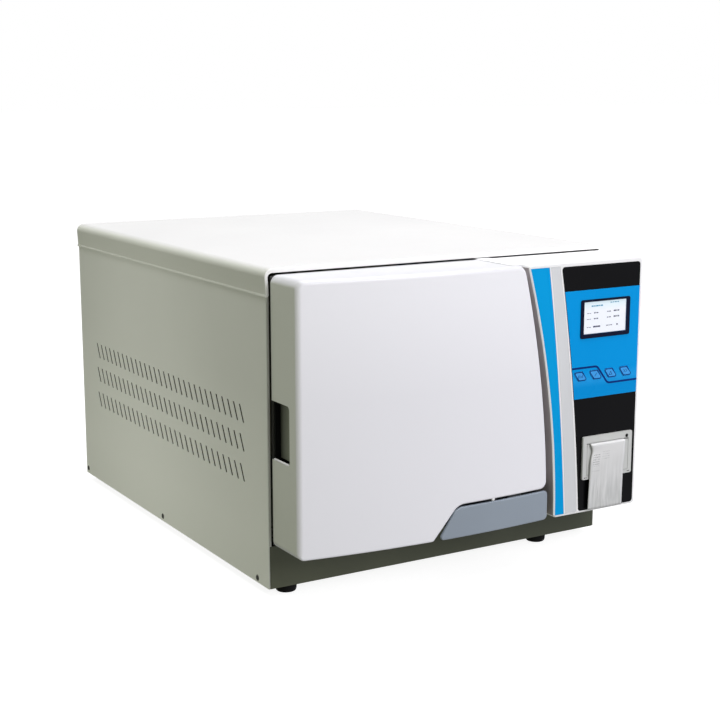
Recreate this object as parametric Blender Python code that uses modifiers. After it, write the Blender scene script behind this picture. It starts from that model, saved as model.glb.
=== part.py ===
"""Benchtop autoclave: chamber, door, control column, casing and the works inside.

Everything is laid out in millimetres from the casing's lower front left corner:
x runs to the right, y to the rear and z up. One empty, `casing_corner`, carries
all pieces and puts the origin on the bench, centred under the whole machine.
"""
import math

import bmesh
import bpy
from mathutils import Matrix, Vector

MM = 0.001                    # Blender works in metres
GAP = 0.3                     # play between two pieces that touch

# Casing
WIDTH = 508.0
DEPTH = 633.0
BASE_TOP = 54.0               # upper edge of the dark base tray
COVER_TOP = 394.0
LIP_BOTTOM = 360.0            # lower edge of the top cover's side lips
COVER_CORNER = 11.0
COVER_PROUD = 1.5             # the lips stand outside the side panels
SHEET = 1.5                   # sheet metal thickness
FLANGE_WIDTH = 6.0            # front return of a side panel
PANEL_TOP = 384.0
FRAME_Y = 3.0                 # front face of the bulkhead behind the door
REAR_Y = 626.0                # inner face of the rear panel
FOOT_HEIGHT = 10.0
FOOT_RADIUS = 13.5
FOOT_SPOTS = {"foot_front_left": (31, 15), "foot_front_right": (418, 15),
              "foot_rear_left": (31, 600), "foot_rear_right": (418, 600)}
FRONT_MOST = -89.0            # face of the hanging paper strip
REAR_MOST = 651.0             # end of the safety valve

# Chamber
CHAMBER_X = 175.0
CHAMBER_Z = 238.0
CHAMBER_RADIUS = 123.5
CHAMBER_WALL = 2.5
FLANGE_RADIUS = 146.0
FLANGE_THICK = 10.0
CHAMBER_DEPTH = 460.0
CHAMBER_DISH = 36.0           # depth of the dished rear end
HEATER_RADIUS = 130.0
WRAP_RADIUS = 146.0           # outside of the insulation
TRAY_LEVELS = {"lower_tray": 180.0, "middle_tray": 228.0, "upper_tray": 276.0}
RACK_HALF = 87.0
ROUND_STEPS = 40

# Door
DOOR_LEFT = 7.0
DOOR_TOP = 384.5
DOOR_BACK = -4.0
DOOR_WALL = 3.0
DOOR_SILL = 95.8              # lower edge above the drain flap
CROWN_TIP = -87.0             # foremost line of the crowned door front
CROWN_X = 240.0
CROWN_FLATNESS = 3550.0
HINGE_X = 310.0
HINGE_Y = -77.0
HINGE_REACH = 73.0            # the door's hinge side is rounded to this radius
PIN_RADIUS = 4.0
RECESS_Z = (165.0, 237.0)     # finger recess in the door's left side
RECESS_FRONT = -48.0
DISC_RADIUS = 137.0
DISC_BACK = -2.3
LEVER_PIVOT = (14.5, -45.0)   # x, y
LATCH_X = 34.0
LATCH_Y = 14.0
LATCH_Z = (92.0, 98.0)        # lower and upper face of the tongue

# Drain flap under the door
FLAP_TOP = 91.5
FLAP_RIGHT = 361.0
FLAP_THICK = 3.0
FLAP_HINGE = (-85.5, 57.5)    # y, z
KNOB_SPOTS = {"clean_drain_knob": 262.0, "waste_drain_knob": 322.0}
KNOB_Z = 73.0

# Control column
COLUMN_FRONT = -82.0
COLUMN_TOP = 387.0
COLUMN_WALL = 3.0
INLAY = 1.5                   # depth of the fascia's seat in the column
STRIPE_INLAY = 0.6
STRIPE_Z = (57.0, 381.0)
FILM = 0.6                    # thickness of the keypad's overlay
FASCIA_Z = (57.0, 380.0)
FASCIA_RIGHT = 503.5
KEYPAD_Z = (207.5, 348.5)
BEZEL_X = (405.8, 487.0)
BEZEL_Z = (286.0, 336.0)
SCREEN_X = (411.0, 481.0)
SCREEN_Z = (291.3, 333.0)
KEY_LEFT = 396.6
KEY_PITCH = 24.9
KEY_Z = (231.3, 243.3)
KEY_WIDTH = 14.6
KEY_LEAN = 8.5                # how far a key's foot stands right of its head
PRINTER_X = (414.6, 497.0)
PRINTER_Z = (99.0, 156.3)
BUCKET_X = (417.5, 493.5)     # the recorder's housing behind its bezel
BUCKET_Z = (101.5, 150.5)
OPENING_X = (421.0, 491.0)
OPENING_Z = (104.0, 148.2)
LID_Z = (104.5, 145.5)
PRINTER_HINGE = (-85.0, 105.6)
ROLL_Y, ROLL_Z, ROLL_RADIUS = -60.0, 124.0, 14.0
PAPER_X = (425.3, 482.3)
PAPER_THICK = 0.6
PAPER_PIVOT = (-86.2, 147.0)  # y, z
PAPER_FOOT = 57.5
PAPER_CURL = 2.6

# Rear panel
FAN_X, FAN_Z, FAN_HOLE = 120.0, 290.0, 54.0
INLET_X, INLET_Z = 405.0, 100.0
VALVE_X, VALVE_Z = 250.0, 335.0
NOZZLE_X, NOZZLE_Z = 60.0, 92.0
ROCKER_PIVOT = (624.0, INLET_Z)  # y, z
ROCKER_TILT = 8.0             # degrees from level at rest

# Colours
WHITE = (0.88, 0.88, 0.88)
SHADE_GREY = (0.60, 0.60, 0.55)
BASE_GREY = (0.09, 0.09, 0.075)
FLAP_GREY = (0.26, 0.31, 0.35)
BLACK = (0.012, 0.012, 0.013)
BLUE = (0.0, 0.29, 0.75)
NAVY = (0.004, 0.01, 0.05)
SILVER = (0.62, 0.62, 0.64)
STEEL = (0.62, 0.62, 0.60)
BRASS = (0.70, 0.50, 0.22)


# ---------------------------------------------------------------- curves of the front

def door_edge(z):
    """Swept right edge of the door."""
    return 361.0 - 4.0e-4 * (z - 50) ** 2


def column_edge(z):
    """Left edge of the control column."""
    return 372.8 - 4.38e-4 * (z - 50) ** 2


def blue_edges(z):
    """Left and right edge of the blue stripe."""
    return column_edge(z) + 2.8, 393.9 - 1.375e-4 * (z + 152) ** 2


def silver_edges(z):
    """Left and right edge of the silver stripe."""
    return blue_edges(z)[1] + 2.0, 413.4 - 1.824e-4 * (z + 97.5) ** 2


def fascia_edge(z):
    """Left edge of the dark fascia."""
    return silver_edges(z)[1] + 2.7


def crown(x):
    """Distance of the crowned door front from the casing's front."""
    return CROWN_TIP + (x - CROWN_X) ** 2 / CROWN_FLATNESS


def steps(low, high, count):
    """Evenly spaced numbers from low to high, both ends included."""
    return [low + (high - low) * i / (count - 1) for i in range(count)]


# ---------------------------------------------------------------- outlines

def rounded(corners, arc_points=5):
    """Closed outline through corners (a, b, radius), each rounded by its radius."""
    points = []
    for i, (a, b, radius) in enumerate(corners):
        here = Vector((a, b))
        if radius == 0:
            points.append((a, b))
            continue
        back = (Vector(corners[i - 1][:2]) - here).normalized()
        ahead = (Vector(corners[(i + 1) % len(corners)][:2]) - here).normalized()
        half = back.angle(ahead) / 2
        centre = here + (back + ahead).normalized() * (radius / math.sin(half))
        start = here + back * (radius / math.tan(half)) - centre
        end = here + ahead * (radius / math.tan(half)) - centre
        for step in range(arc_points):
            along = start.lerp(end, step / (arc_points - 1)).normalized() * radius
            points.append(tuple(centre + along))
    return points


def rectangle(low_a, high_a, low_b, high_b, radius=0.0, arc_points=4):
    corners = [(low_a, low_b, radius), (high_a, low_b, radius),
               (high_a, high_b, radius), (low_a, high_b, radius)]
    return rounded(corners, arc_points)


def strip_outline(left, right, low, high, count=10):
    """Outline in x and z between two edges that are functions of z."""
    rising = [(right(z), z) for z in steps(low, high, count)]
    falling = [(left(z), z) for z in steps(high, low, count)]
    return rising + falling


def band_outline(path, thickness):
    """Outline of a thin band that follows an open path."""
    one, other = [], []
    for i, point in enumerate(path):
        before = Vector(path[max(i - 1, 0)])
        after = Vector(path[min(i + 1, len(path) - 1)])
        along = (after - before).normalized()
        across = Vector((-along.y, along.x)) * thickness / 2
        one.append(tuple(Vector(point) + across))
        other.append(tuple(Vector(point) - across))
    return one + other[::-1]


# ---------------------------------------------------------------- building tools

def clear_scene():
    for obj in list(bpy.data.objects):
        bpy.data.objects.remove(obj, do_unlink=True)


def new_collection(name):
    collection = bpy.data.collections.new(name)
    bpy.context.scene.collection.children.link(collection)
    return collection


clear_scene()
PARTS = new_collection("benchtop_autoclave")
CUTTERS = new_collection("cutters")


def empty(name, location, parent=None):
    """An empty at a place given in millimetres from its parent."""
    holder = bpy.data.objects.new(name, None)
    holder.location = Vector(location) * MM
    holder.parent = parent
    PARTS.objects.link(holder)
    return holder


CORNER = empty("casing_corner", (-WIDTH / 2, -(FRONT_MOST + REAR_MOST) / 2, FOOT_HEIGHT))


def place(obj, name):
    """Name an object and hang it on the casing's corner."""
    obj.name = name
    for collection in list(obj.users_collection):
        collection.objects.unlink(obj)
    PARTS.objects.link(obj)
    obj.parent = CORNER
    return obj


def prism(name, outline, axis, low, high):
    """A flat outline, given in the plane across `axis`, drawn out from low to high."""
    curve = bpy.data.curves.new(name, "CURVE")
    curve.dimensions = "2D"
    curve.fill_mode = "BOTH"
    curve.extrude = (high - low) / 2 * MM
    spline = curve.splines.new("POLY")
    spline.points.add(len(outline) - 1)
    for point, (a, b) in zip(spline.points, outline):
        point.co = (a * MM, b * MM, 0, 1)
    spline.use_cyclic_u = True
    guide = bpy.data.objects.new(name, curve)
    CUTTERS.objects.link(guide)
    evaluated = guide.evaluated_get(bpy.context.evaluated_depsgraph_get())
    mesh = bpy.data.meshes.new_from_object(evaluated)
    bpy.data.objects.remove(guide, do_unlink=True)
    turn = {"x": Matrix(((0, 0, 1), (1, 0, 0), (0, 1, 0))),
            "y": Matrix(((1, 0, 0), (0, 0, -1), (0, 1, 0))),
            "z": Matrix.Identity(3)}[axis]
    shift = Vector([(low + high) / 2 * MM if letter == axis else 0 for letter in "xyz"])
    mesh.transform(Matrix.Translation(shift) @ turn.to_4x4())
    work = bmesh.new()
    work.from_mesh(mesh)
    bmesh.ops.remove_doubles(work, verts=work.verts, dist=1e-6)
    bmesh.ops.recalc_face_normals(work, faces=work.faces)
    work.to_mesh(mesh)
    work.free()
    return place(bpy.data.objects.new(name, mesh), name)


def box(name, low, high):
    """A block between two corners, with its size in the mesh and no scale left."""
    bpy.ops.mesh.primitive_cube_add(size=1)
    obj = bpy.context.object
    low, high = Vector(low) * MM, Vector(high) * MM
    obj.data.transform(Matrix.Translation((low + high) / 2) @ Matrix.Diagonal((*(high - low), 1)))
    return place(obj, name)


def rod(name, centre, radius, axis, low, high, sides=24):
    """A cylinder along x, y or z; centre gives the other two coordinates."""
    bpy.ops.mesh.primitive_cylinder_add(vertices=sides, radius=radius * MM, depth=(high - low) * MM)
    obj = bpy.context.object
    turn = {"x": Matrix.Rotation(math.pi / 2, 4, "Y"),
            "y": Matrix.Rotation(math.pi / 2, 4, "X"), "z": Matrix.Identity(4)}[axis]
    middle = list(centre)
    middle.insert("xyz".index(axis), (low + high) / 2)
    obj.data.transform(Matrix.Translation(Vector(middle) * MM) @ turn)
    obj.data.shade_smooth()
    obj.data.set_sharp_from_angle(angle=math.radians(40))
    return place(obj, name)


def turned(name, profile, centre, facing="front", sides=ROUND_STEPS):
    """A profile (radius, height) turned about an axis that points up, right, front or rear."""
    mesh = bpy.data.meshes.new(name)
    area = sum(a[0] * b[1] - b[0] * a[1] for a, b in zip(profile, profile[1:] + profile[:1]))
    if area > 0:              # the profile has to run down its outer side
        profile = profile[::-1]
    points = [(radius * MM, 0, height * MM) for radius, height in profile]
    closed = profile[0][0] > 0
    edges = [(i, i + 1) for i in range(len(points) - 1)]
    if closed:
        edges.append((len(points) - 1, 0))
    mesh.from_pydata(points, edges, [])
    obj = bpy.data.objects.new(name, mesh)
    screw = obj.modifiers.new("turn", "SCREW")
    screw.steps = sides
    screw.render_steps = sides
    screw.use_merge_vertices = True
    screw.merge_threshold = 0.00001
    obj.location = Vector(centre) * MM
    obj.rotation_euler = {"up": (0, 0, 0), "front": (math.pi / 2, 0, 0),
                          "rear": (-math.pi / 2, 0, 0),
                          "right": (0, math.pi / 2, 0)}[facing]
    return place(obj, name)


def combine(obj, tool, operation):
    """Cut, join or intersect a piece with a tool body, which is kept out of the parts."""
    modifier = obj.modifiers.new(tool.name, "BOOLEAN")
    modifier.operation = operation
    modifier.object = tool
    PARTS.objects.unlink(tool)
    CUTTERS.objects.link(tool)
    tool.hide_render = True
    tool.display_type = "WIRE"
    return obj


def cut(obj, *tools):
    for tool in tools:
        combine(obj, tool, "DIFFERENCE")
    return obj


def join(obj, *tools):
    for tool in tools:
        combine(obj, tool, "UNION")
    return obj


def soften(obj, width, segments=2, angle=40):
    bevel = obj.modifiers.new("soft_edges", "BEVEL")
    bevel.width = width * MM
    bevel.segments = segments
    bevel.limit_method = "ANGLE"
    bevel.angle_limit = math.radians(angle)
    return obj


def paint(obj, colour, roughness=0.5, metallic=0.0):
    material = bpy.data.materials.new(obj.name + "_finish")
    material.use_nodes = True
    shader = material.node_tree.nodes["Principled BSDF"]
    shader.inputs["Base Color"].default_value = (*colour, 1)
    shader.inputs["Roughness"].default_value = roughness
    shader.inputs["Metallic"].default_value = metallic
    obj.data.materials.clear()
    obj.data.materials.append(material)
    return obj


def origin_at(obj, pivot):
    """Move an object's origin to its joint without moving its shape."""
    pivot = Vector(pivot) * MM
    obj.data.transform(Matrix.Translation(obj.matrix_basis.to_3x3().inverted() @
                                          (obj.location - pivot)))
    obj.location = pivot


def hang(holder, *pieces):
    """Parent pieces to a joint's empty and keep them where they are."""
    for piece in pieces:
        piece.parent = holder
        piece.location = piece.location - holder.location



# ---------------------------------------------------------------- casing

def base_chassis():
    base = box("base_chassis", (2, 0.3, 0), (WIDTH - 2, REAR_Y + SHEET, BASE_TOP))
    cut(base, box("base_hollow", (2 + SHEET, 0.3 + SHEET, SHEET),
                  (WIDTH - 2 - SHEET, REAR_Y, BASE_TOP + 10)))
    return paint(base, BASE_GREY, 0.55)


def foot(name, spot):
    """Tapered rubber foot with a recess under it for its screw."""
    profile = [(4, -FOOT_HEIGHT + 4), (4, -GAP), (FOOT_RADIUS, -GAP),
               (FOOT_RADIUS - 1.5, -FOOT_HEIGHT + 1), (FOOT_RADIUS - 2.5, -FOOT_HEIGHT),
               (4, -FOOT_HEIGHT)]
    return paint(turned(name, profile, (*spot, 0), "up", 20), BLACK, 0.8)


def side_panel(name, mirrored):
    """Flat side sheet with a narrow return along its front edge above the base."""
    def across(a, b):
        return (WIDTH - b, WIDTH - a) if mirrored else (a, b)

    def sheet(piece, low_x, high_x, low, high):
        low_x, high_x = across(low_x, high_x)
        return box(piece, (low_x, *low), (high_x, *high))

    shoulder = LIP_BOTTOM - GAP
    panel = sheet(name, 0, SHEET, (0, 0), (REAR_Y + 5, shoulder))
    join(panel, sheet(name + "_return", SHEET / 2, FLANGE_WIDTH, (0, BASE_TOP + GAP),
                      (SHEET, shoulder)),
         sheet(name + "_tongue", 0, SHEET, (SHEET + GAP, shoulder - 5), (REAR_Y + 5, PANEL_TOP)))
    return paint(panel, SHADE_GREY, 0.5)


def loaf(name, inset, low_y, high_y):
    """Arched body of the top cover, drawn in by `inset` on its top and sides."""
    side = COVER_PROUD - inset
    radius = COVER_CORNER - inset
    corners = [(-side, LIP_BOTTOM - (20 if inset else 0), 0),
               (WIDTH + side, LIP_BOTTOM - (20 if inset else 0), 0),
               (WIDTH + side, COVER_TOP - inset, radius), (-side, COVER_TOP - inset, radius)]
    return prism(name, rounded(corners, 6), "y", low_y, high_y)


def top_cover():
    """Folded cover: side lips over the panels and a narrow return at the front."""
    cover = loaf("top_cover", 0, 0, DEPTH)
    cut(cover, loaf("cover_hollow", COVER_PROUD - GAP, SHEET, DEPTH + 20),
        loaf("cover_front_hollow", 5, -10, SHEET + 5))
    return paint(cover, WHITE, 0.4)


def front_frame():
    """Bulkhead behind the door, open for the chamber flange and the latch."""
    frame = box("front_frame", (FLANGE_WIDTH + 2, FRAME_Y, BASE_TOP + 1),
                (WIDTH - FLANGE_WIDTH - 2, FRAME_Y + 2, PANEL_TOP))
    cut(frame,
        rod("chamber_hole", (CHAMBER_X, CHAMBER_Z), FLANGE_RADIUS + 1, "y", -5, 20, 48),
        box("latch_slot", (17.5, -5, 89), (44, 20, 101)),
        box("cable_hole", (400, -5, 120), (470, 20, 300)))
    return paint(frame, STEEL, 0.4, 0.8)


def rear_panel():
    panel = box("rear_panel", (2, REAR_Y, BASE_TOP + 1), (WIDTH - 2, REAR_Y + SHEET, PANEL_TOP + 2))
    cut(panel,
        rod("fan_hole", (FAN_X, FAN_Z), FAN_HOLE, "y", 600, 650, 36),
        box("inlet_hole", (INLET_X - 29, 600, INLET_Z - 17), (INLET_X + 29, 650, INLET_Z + 17)),
        rod("valve_hole", (VALVE_X, VALVE_Z), 8, "y", 600, 650),
        rod("nozzle_hole", (NOZZLE_X, NOZZLE_Z), 6, "y", 600, 650))
    return paint(panel, SHADE_GREY, 0.5)


# ---------------------------------------------------------------- chamber and load

def dish(radius, rim, depth, count):
    """Points (radius, height) of a dished end, from its rim in to the axis."""
    turns = steps(0, math.pi / 2, count)
    return [(radius * math.cos(t) if t < 1.57 else 0.0, rim - depth * math.sin(t)) for t in turns]


def chamber_vessel():
    """Pressure vessel: front flange, straight shell and dished rear end in one weldment."""
    outer = CHAMBER_RADIUS + CHAMBER_WALL
    inside = dish(CHAMBER_RADIUS, -CHAMBER_DEPTH, CHAMBER_DISH, 5)[::-1]
    outside = dish(outer, -CHAMBER_DEPTH, CHAMBER_DISH + CHAMBER_WALL, 5)
    profile = inside + [(CHAMBER_RADIUS, 0), (FLANGE_RADIUS, 0),
                        (FLANGE_RADIUS, -FLANGE_THICK), (outer, -FLANGE_THICK)] + outside
    return paint(turned("chamber_vessel", profile, (CHAMBER_X, 0, CHAMBER_Z)), STEEL, 0.25, 1.0)


def sleeve(name, inner, outer, front, rear, colour, metallic):
    profile = [(inner, -rear), (inner, -front), (outer, -front), (outer, -rear)]
    return paint(turned(name, profile, (CHAMBER_X, 0, CHAMBER_Z)), colour, 0.6, metallic)


def chamber_cradle():
    """Two saddles on cross rails that carry the wrapped chamber."""
    top = CHAMBER_Z - WRAP_RADIUS + 34
    cradle = box("chamber_cradle", (80, 90, SHEET + GAP), (270, 104, top))
    join(cradle, box("rear_saddle", (80, 390, SHEET + GAP), (270, 404, top)),
         box("left_rail", (84, 97, SHEET + GAP), (96, 397, 14)),
         box("right_rail", (254, 97, SHEET + GAP), (266, 397, 14)))
    cut(cradle, rod("saddle_arc", (CHAMBER_X, CHAMBER_Z), WRAP_RADIUS + 1, "y", 60, 430, 48))
    return paint(cradle, STEEL, 0.5, 0.8)


def tray_rack():
    """Bent steel rack: two sides with ledges, tied at front and rear."""
    left = CHAMBER_X - RACK_HALF
    right = CHAMBER_X + RACK_HALF
    rack = box("tray_rack", (left, 22, 165), (left + SHEET, 436, 311))
    join(rack, box("rack_right", (right - SHEET, 22, 165), (right, 436, 311)))
    for level in TRAY_LEVELS.values():
        join(rack, box("ledge_left", (left + SHEET / 2, 24, level - 1.5), (left + 9, 434, level)),
             box("ledge_right", (right - 9, 24, level - 1.5), (right - SHEET / 2, 434, level)))
    for y in (28, 424):
        for z in (165, 305):
            join(rack, box("tie", (left + SHEET / 2, y, z), (right - SHEET / 2, y + 6, z + 4)))
    return paint(rack, STEEL, 0.3, 1.0)


def tray(name, level):
    """Shallow instrument tray that rests on a pair of ledges."""
    half = RACK_HALF - 4
    base = level + GAP
    pan = box(name, (CHAMBER_X - half, 30, base), (CHAMBER_X + half, 430, base + 16))
    cut(pan, box(name + "_hollow", (CHAMBER_X - half + 1.2, 31.2, base + 1.2),
                 (CHAMBER_X + half - 1.2, 428.8, base + 30)))
    return paint(pan, STEEL, 0.3, 1.0)


# ---------------------------------------------------------------- works inside

def tank(name, low, high):
    """Moulded water tank with a filling hole in its top."""
    wall = 3
    body = soften(box(name, low, high), 4)
    inner_low = [c + wall for c in low]
    inner_high = [c - wall for c in high]
    middle = ((low[0] + high[0]) / 2, low[1] + 40)
    cut(body, box(name + "_hollow", inner_low, inner_high),
        rod(name + "_filler", middle, 18, "z", high[2] - 10, high[2] + 10, 20))
    return paint(body, (0.75, 0.78, 0.8), 0.5)


def steam_generator():
    profile = [(0, 185), (20, 183), (34, 176), (42, 160), (42, 22), (50, 22), (50, 14),
               (30, 14), (0, 14)]
    boiler = turned("steam_generator", profile, (392, 405, 0), "up", 32)
    join(boiler, box("boiler_foot", (350, 395, SHEET + GAP), (434, 415, 20)))
    return paint(boiler, STEEL, 0.3, 1.0)


def vacuum_pump():
    pump = rod("vacuum_pump", (405, 52), 36, "y", 470, 560, 28)
    join(pump, box("pump_head", (370, 555, 18), (440, 600, 92)),
         box("pump_foot", (372, 480, SHEET + GAP), (438, 590, 22)),
         rod("pump_port", (405, 580), 8, "z", 90, 112, 16))
    return paint(pump, (0.15, 0.15, 0.16), 0.5, 0.3)


def condenser():
    """Finned block that the fan draws air through."""
    block = box("condenser", (FAN_X - 60, 545, FAN_Z - 60), (FAN_X + 60, 575, FAN_Z + 60))
    for x in steps(FAN_X - 48, FAN_X + 48, 9):
        cut(block, box("fin_gap", (x - 3, 540, FAN_Z - 52), (x + 3, 580, FAN_Z + 52)))
    return paint(block, STEEL, 0.5, 0.9)


def fan_shroud():
    """Square fan frame with a hub held by four arms."""
    shroud = box("fan_shroud", (FAN_X - 60, 590, FAN_Z - 60), (FAN_X + 60, REAR_Y - GAP, FAN_Z + 60))
    cut(shroud, rod("fan_bore", (FAN_X, FAN_Z), 55, "y", 580, 640, 36))
    join(shroud, box("arm_across", (FAN_X - 57, 592, FAN_Z - 3), (FAN_X + 57, 596, FAN_Z + 3)),
         box("arm_upright", (FAN_X - 3, 592, FAN_Z - 57), (FAN_X + 3, 596, FAN_Z + 57)),
         rod("motor_mount", (FAN_X, FAN_Z), 20, "y", 592, 600, 20))
    return paint(shroud, BLACK, 0.5)


def fan_rotor():
    """Hub and seven pitched blades on one axis."""
    rotor = rod("fan_rotor", (FAN_X, FAN_Z), 20, "y", 601, 621, 20)
    for i in range(7):
        blade = box("blade", (-8, -1, 16), (8, 1, 51))
        blade.rotation_euler = (0, math.tau * i / 7, 0)
        blade.data.transform(Matrix.Rotation(math.radians(35), 4, "Z"))
        blade.location = Vector((FAN_X, 611, FAN_Z)) * MM
        join(rotor, blade)
    origin_at(rotor, (FAN_X, 611, FAN_Z))
    return paint(rotor, BLACK, 0.5)


def main_board():
    """Control board with its transformer, relays and cooling block."""
    board = box("main_board", (497, 360, 130), (499, 590, 340))
    for low, high in (((460, 380, 150), (497.5, 430, 205)), ((480, 450, 150), (497.5, 468, 178)),
                      ((480, 475, 150), (497.5, 493, 178)), ((470, 520, 240), (497.5, 575, 320)),
                      ((488, 400, 250), (497.5, 440, 290))):
        join(board, box("component", low, high))
    return paint(board, (0.02, 0.18, 0.08), 0.5)


def safety_valve():
    """Brass relief valve through the rear panel, with a hexagon and a cap."""
    length = REAR_MOST - 596
    profile = [(0, length), (6, length), (7, length - 2), (7, length - 12), (5, length - 13),
               (5, length - 16), (9.5, length - 17), (9.5, length - 22), (7, length - 22),
               (7, 0), (0, 0)]
    valve = turned("safety_valve", profile, (VALVE_X, 596, VALVE_Z), "rear", 20)
    return paint(valve, BRASS, 0.3, 1.0)


def drain_nozzle():
    """Barbed hose nozzle for the exhaust line."""
    profile = [(3, 0), (3, 46), (4.5, 46), (6, 41), (4.8, 41), (6, 36), (4.8, 36), (4.8, 31),
               (9, 31), (9, 31 - 3.4 + GAP), (5.5, 31 - 3.4 + GAP), (5.5, 0)]
    nozzle = turned("exhaust_nozzle", profile, (NOZZLE_X, 600, NOZZLE_Z), "rear", 20)
    return paint(nozzle, BRASS, 0.3, 1.0)


def power_inlet():
    """Mains inlet module on the rear panel: socket well and switch window in one body."""
    rear = REAR_Y + SHEET
    module = box("power_inlet", (INLET_X - 34, rear + GAP, INLET_Z - 22),
                 (INLET_X + 34, rear + GAP + 2.5, INLET_Z + 22))
    join(module, box("inlet_body", (INLET_X - 28.5, 604, INLET_Z - 16.5),
                     (INLET_X + 28.5, rear + 1, INLET_Z + 16.5)))
    socket = rounded([(INLET_X - 25, INLET_Z - 9, 1), (INLET_X + 1, INLET_Z - 9, 1),
                      (INLET_X + 1, INLET_Z + 4, 1), (INLET_X - 4, INLET_Z + 9, 1),
                      (INLET_X - 20, INLET_Z + 9, 1), (INLET_X - 25, INLET_Z + 4, 1)], 3)
    cut(module, prism("socket_well", socket, "y", 612, 640),
        box("switch_window", (INLET_X + 9, 608, INLET_Z - 13), (INLET_X + 25, 640, INLET_Z + 13)))
    return paint(module, BLACK, 0.5)


def power_switch_rocker():
    """Rocker with two faces that meet in a shallow valley; it rests tipped to one side."""
    y, z = ROCKER_PIVOT
    outline = [(y - 8, z - 4), (y + 5, z - 11), (y + 7, z - 11), (y + 5, z),
               (y + 7, z + 11), (y + 5, z + 11), (y - 8, z + 4)]
    rocker = prism("power_switch_rocker", outline, "x", INLET_X + 10, INLET_X + 24)
    origin_at(rocker, (INLET_X + 17, y, z))
    rocker.rotation_euler = (math.radians(-ROCKER_TILT), 0, 0)
    return paint(rocker, (0.5, 0.02, 0.02), 0.4)


# ---------------------------------------------------------------- door

def door_outline(inset=0.0):
    """Front view of the door: swept right edge and a cut-out over the drain flap."""
    left = DOOR_LEFT + inset
    low = BASE_TOP + inset
    top = DOOR_TOP - inset
    sill = DOOR_SILL + inset
    edge = [(door_edge(z) - inset, z, 0) for z in steps(sill + 24, top - 20, 9)]
    corners = [(left, low, 8), (183 - inset * 0.5, low, 5), (218.8 - inset * 0.5, sill, 20),
               (door_edge(sill) - inset, sill, 10)]
    corners += edge
    corners += [(door_edge(top) - inset, top, 12), (left, top, 10)]
    return rounded(corners, 5)


def hinge_arc(radius, start, end, count=7):
    """Points on a circle about the door's pivot, in x and y."""
    turns = steps(math.radians(start), math.radians(end), count)
    return [(HINGE_X + radius * math.cos(t), HINGE_Y + radius * math.sin(t)) for t in turns]


def door_plan(inset=0.0):
    """Plan of the door: crowned front, straight left side, hinge side rounded to swing clear."""
    left = DOOR_LEFT + inset
    front = [(x, crown(x) + inset) for x in steps(left + 9, 368 - inset, 12)]
    arc = hinge_arc(HINGE_REACH, 40, 90)
    return [(left, crown(left) + inset + 9), (left + 2.6, crown(left) + inset + 3)] + front + \
        arc + [(left, DOOR_BACK)]


def door_body(name, inset, low_z, high_z):
    """Solid of the door's plan cut to its front outline."""
    body = prism(name, door_plan(inset), "z", low_z, high_z)
    outline = prism(name + "_outline", door_outline(inset), "y", -120, 30)
    return combine(body, outline, "INTERSECT")


def door_cover():
    """Deep white shell with a finger recess and two pin holes, open at the back."""
    cover = door_body("door_cover", 0, 40, 400)
    left = DOOR_LEFT + DOOR_WALL
    front = [(x, crown(x) + DOOR_WALL) for x in steps(left, 368, 12)]
    hollow = prism("door_hollow", front + [(368, 20), (left, 20)], "z", 40, 400)
    combine(hollow, prism("door_hollow_outline", door_outline(DOOR_WALL), "y", -120, 30),
            "INTERSECT")
    recess = rectangle(RECESS_FRONT, 20, *RECESS_Z, 5)
    cut(cover, hollow, prism("recess", recess, "x", -10, left + 5),
        rod("upper_pin_hole", (HINGE_X, HINGE_Y), PIN_RADIUS + 0.5, "z", 372, 400, 16),
        rod("lower_pin_hole", (HINGE_X, HINGE_Y), PIN_RADIUS + 0.5, "z", 80, 107, 16))
    return paint(cover, WHITE, 0.35)


def door_liner():
    """Back plate of the door, curved to follow the rounded hinge side."""
    inset = DOOR_WALL + GAP
    back = DOOR_BACK - GAP
    outer = HINGE_REACH - GAP
    plan = [(DOOR_LEFT + inset, back), (DOOR_LEFT + inset, back - 2), (HINGE_X, back - 2)]
    plan += hinge_arc(outer - 2, 84, 42)
    plan += hinge_arc(outer, 42, 84)
    plan += [(HINGE_X, back)]
    liner = prism("door_liner", plan, "z", 40, 400)
    combine(liner, prism("liner_outline", door_outline(inset), "y", -120, 30), "INTERSECT")
    cut(liner, rod("disc_hole", (CHAMBER_X, CHAMBER_Z), DISC_RADIUS + 2, "y", -60, 40, 48))
    return paint(liner, SHADE_GREY, 0.4)


def pressure_door():
    """Dished steel disc that closes the chamber."""
    profile = [(0, 26), (50, 23), (95, 16), (120, 12), (DISC_RADIUS, 12),
               (DISC_RADIUS, -DISC_BACK), (121, -DISC_BACK), (112, 6), (60, 13), (0, 16)]
    return paint(turned("pressure_door", profile, (CHAMBER_X, 0, CHAMBER_Z)), STEEL, 0.2, 1.0)


def door_gasket():
    """Silicone ring seated on the rim of the pressure disc."""
    low, high = GAP, -DISC_BACK - GAP
    profile = [(126, low + 0.4), (126, high), (135, high), (135, low + 0.4), (134, low),
               (127, low)]
    return paint(turned("door_gasket", profile, (CHAMBER_X, 0, CHAMBER_Z)),
                 (0.75, 0.75, 0.72), 0.7)


def pressure_bridge():
    """Swinging arm that carries the pressure disc, with a boss at its middle."""
    arm = box("pressure_bridge", (60, -48, CHAMBER_Z - 14), (338, -32, CHAMBER_Z + 14))
    join(arm, rod("boss", (CHAMBER_X, CHAMBER_Z), 16, "y", -40, -26 - GAP, 24))
    return paint(arm, (0.2, 0.2, 0.21), 0.5, 0.6)


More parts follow.
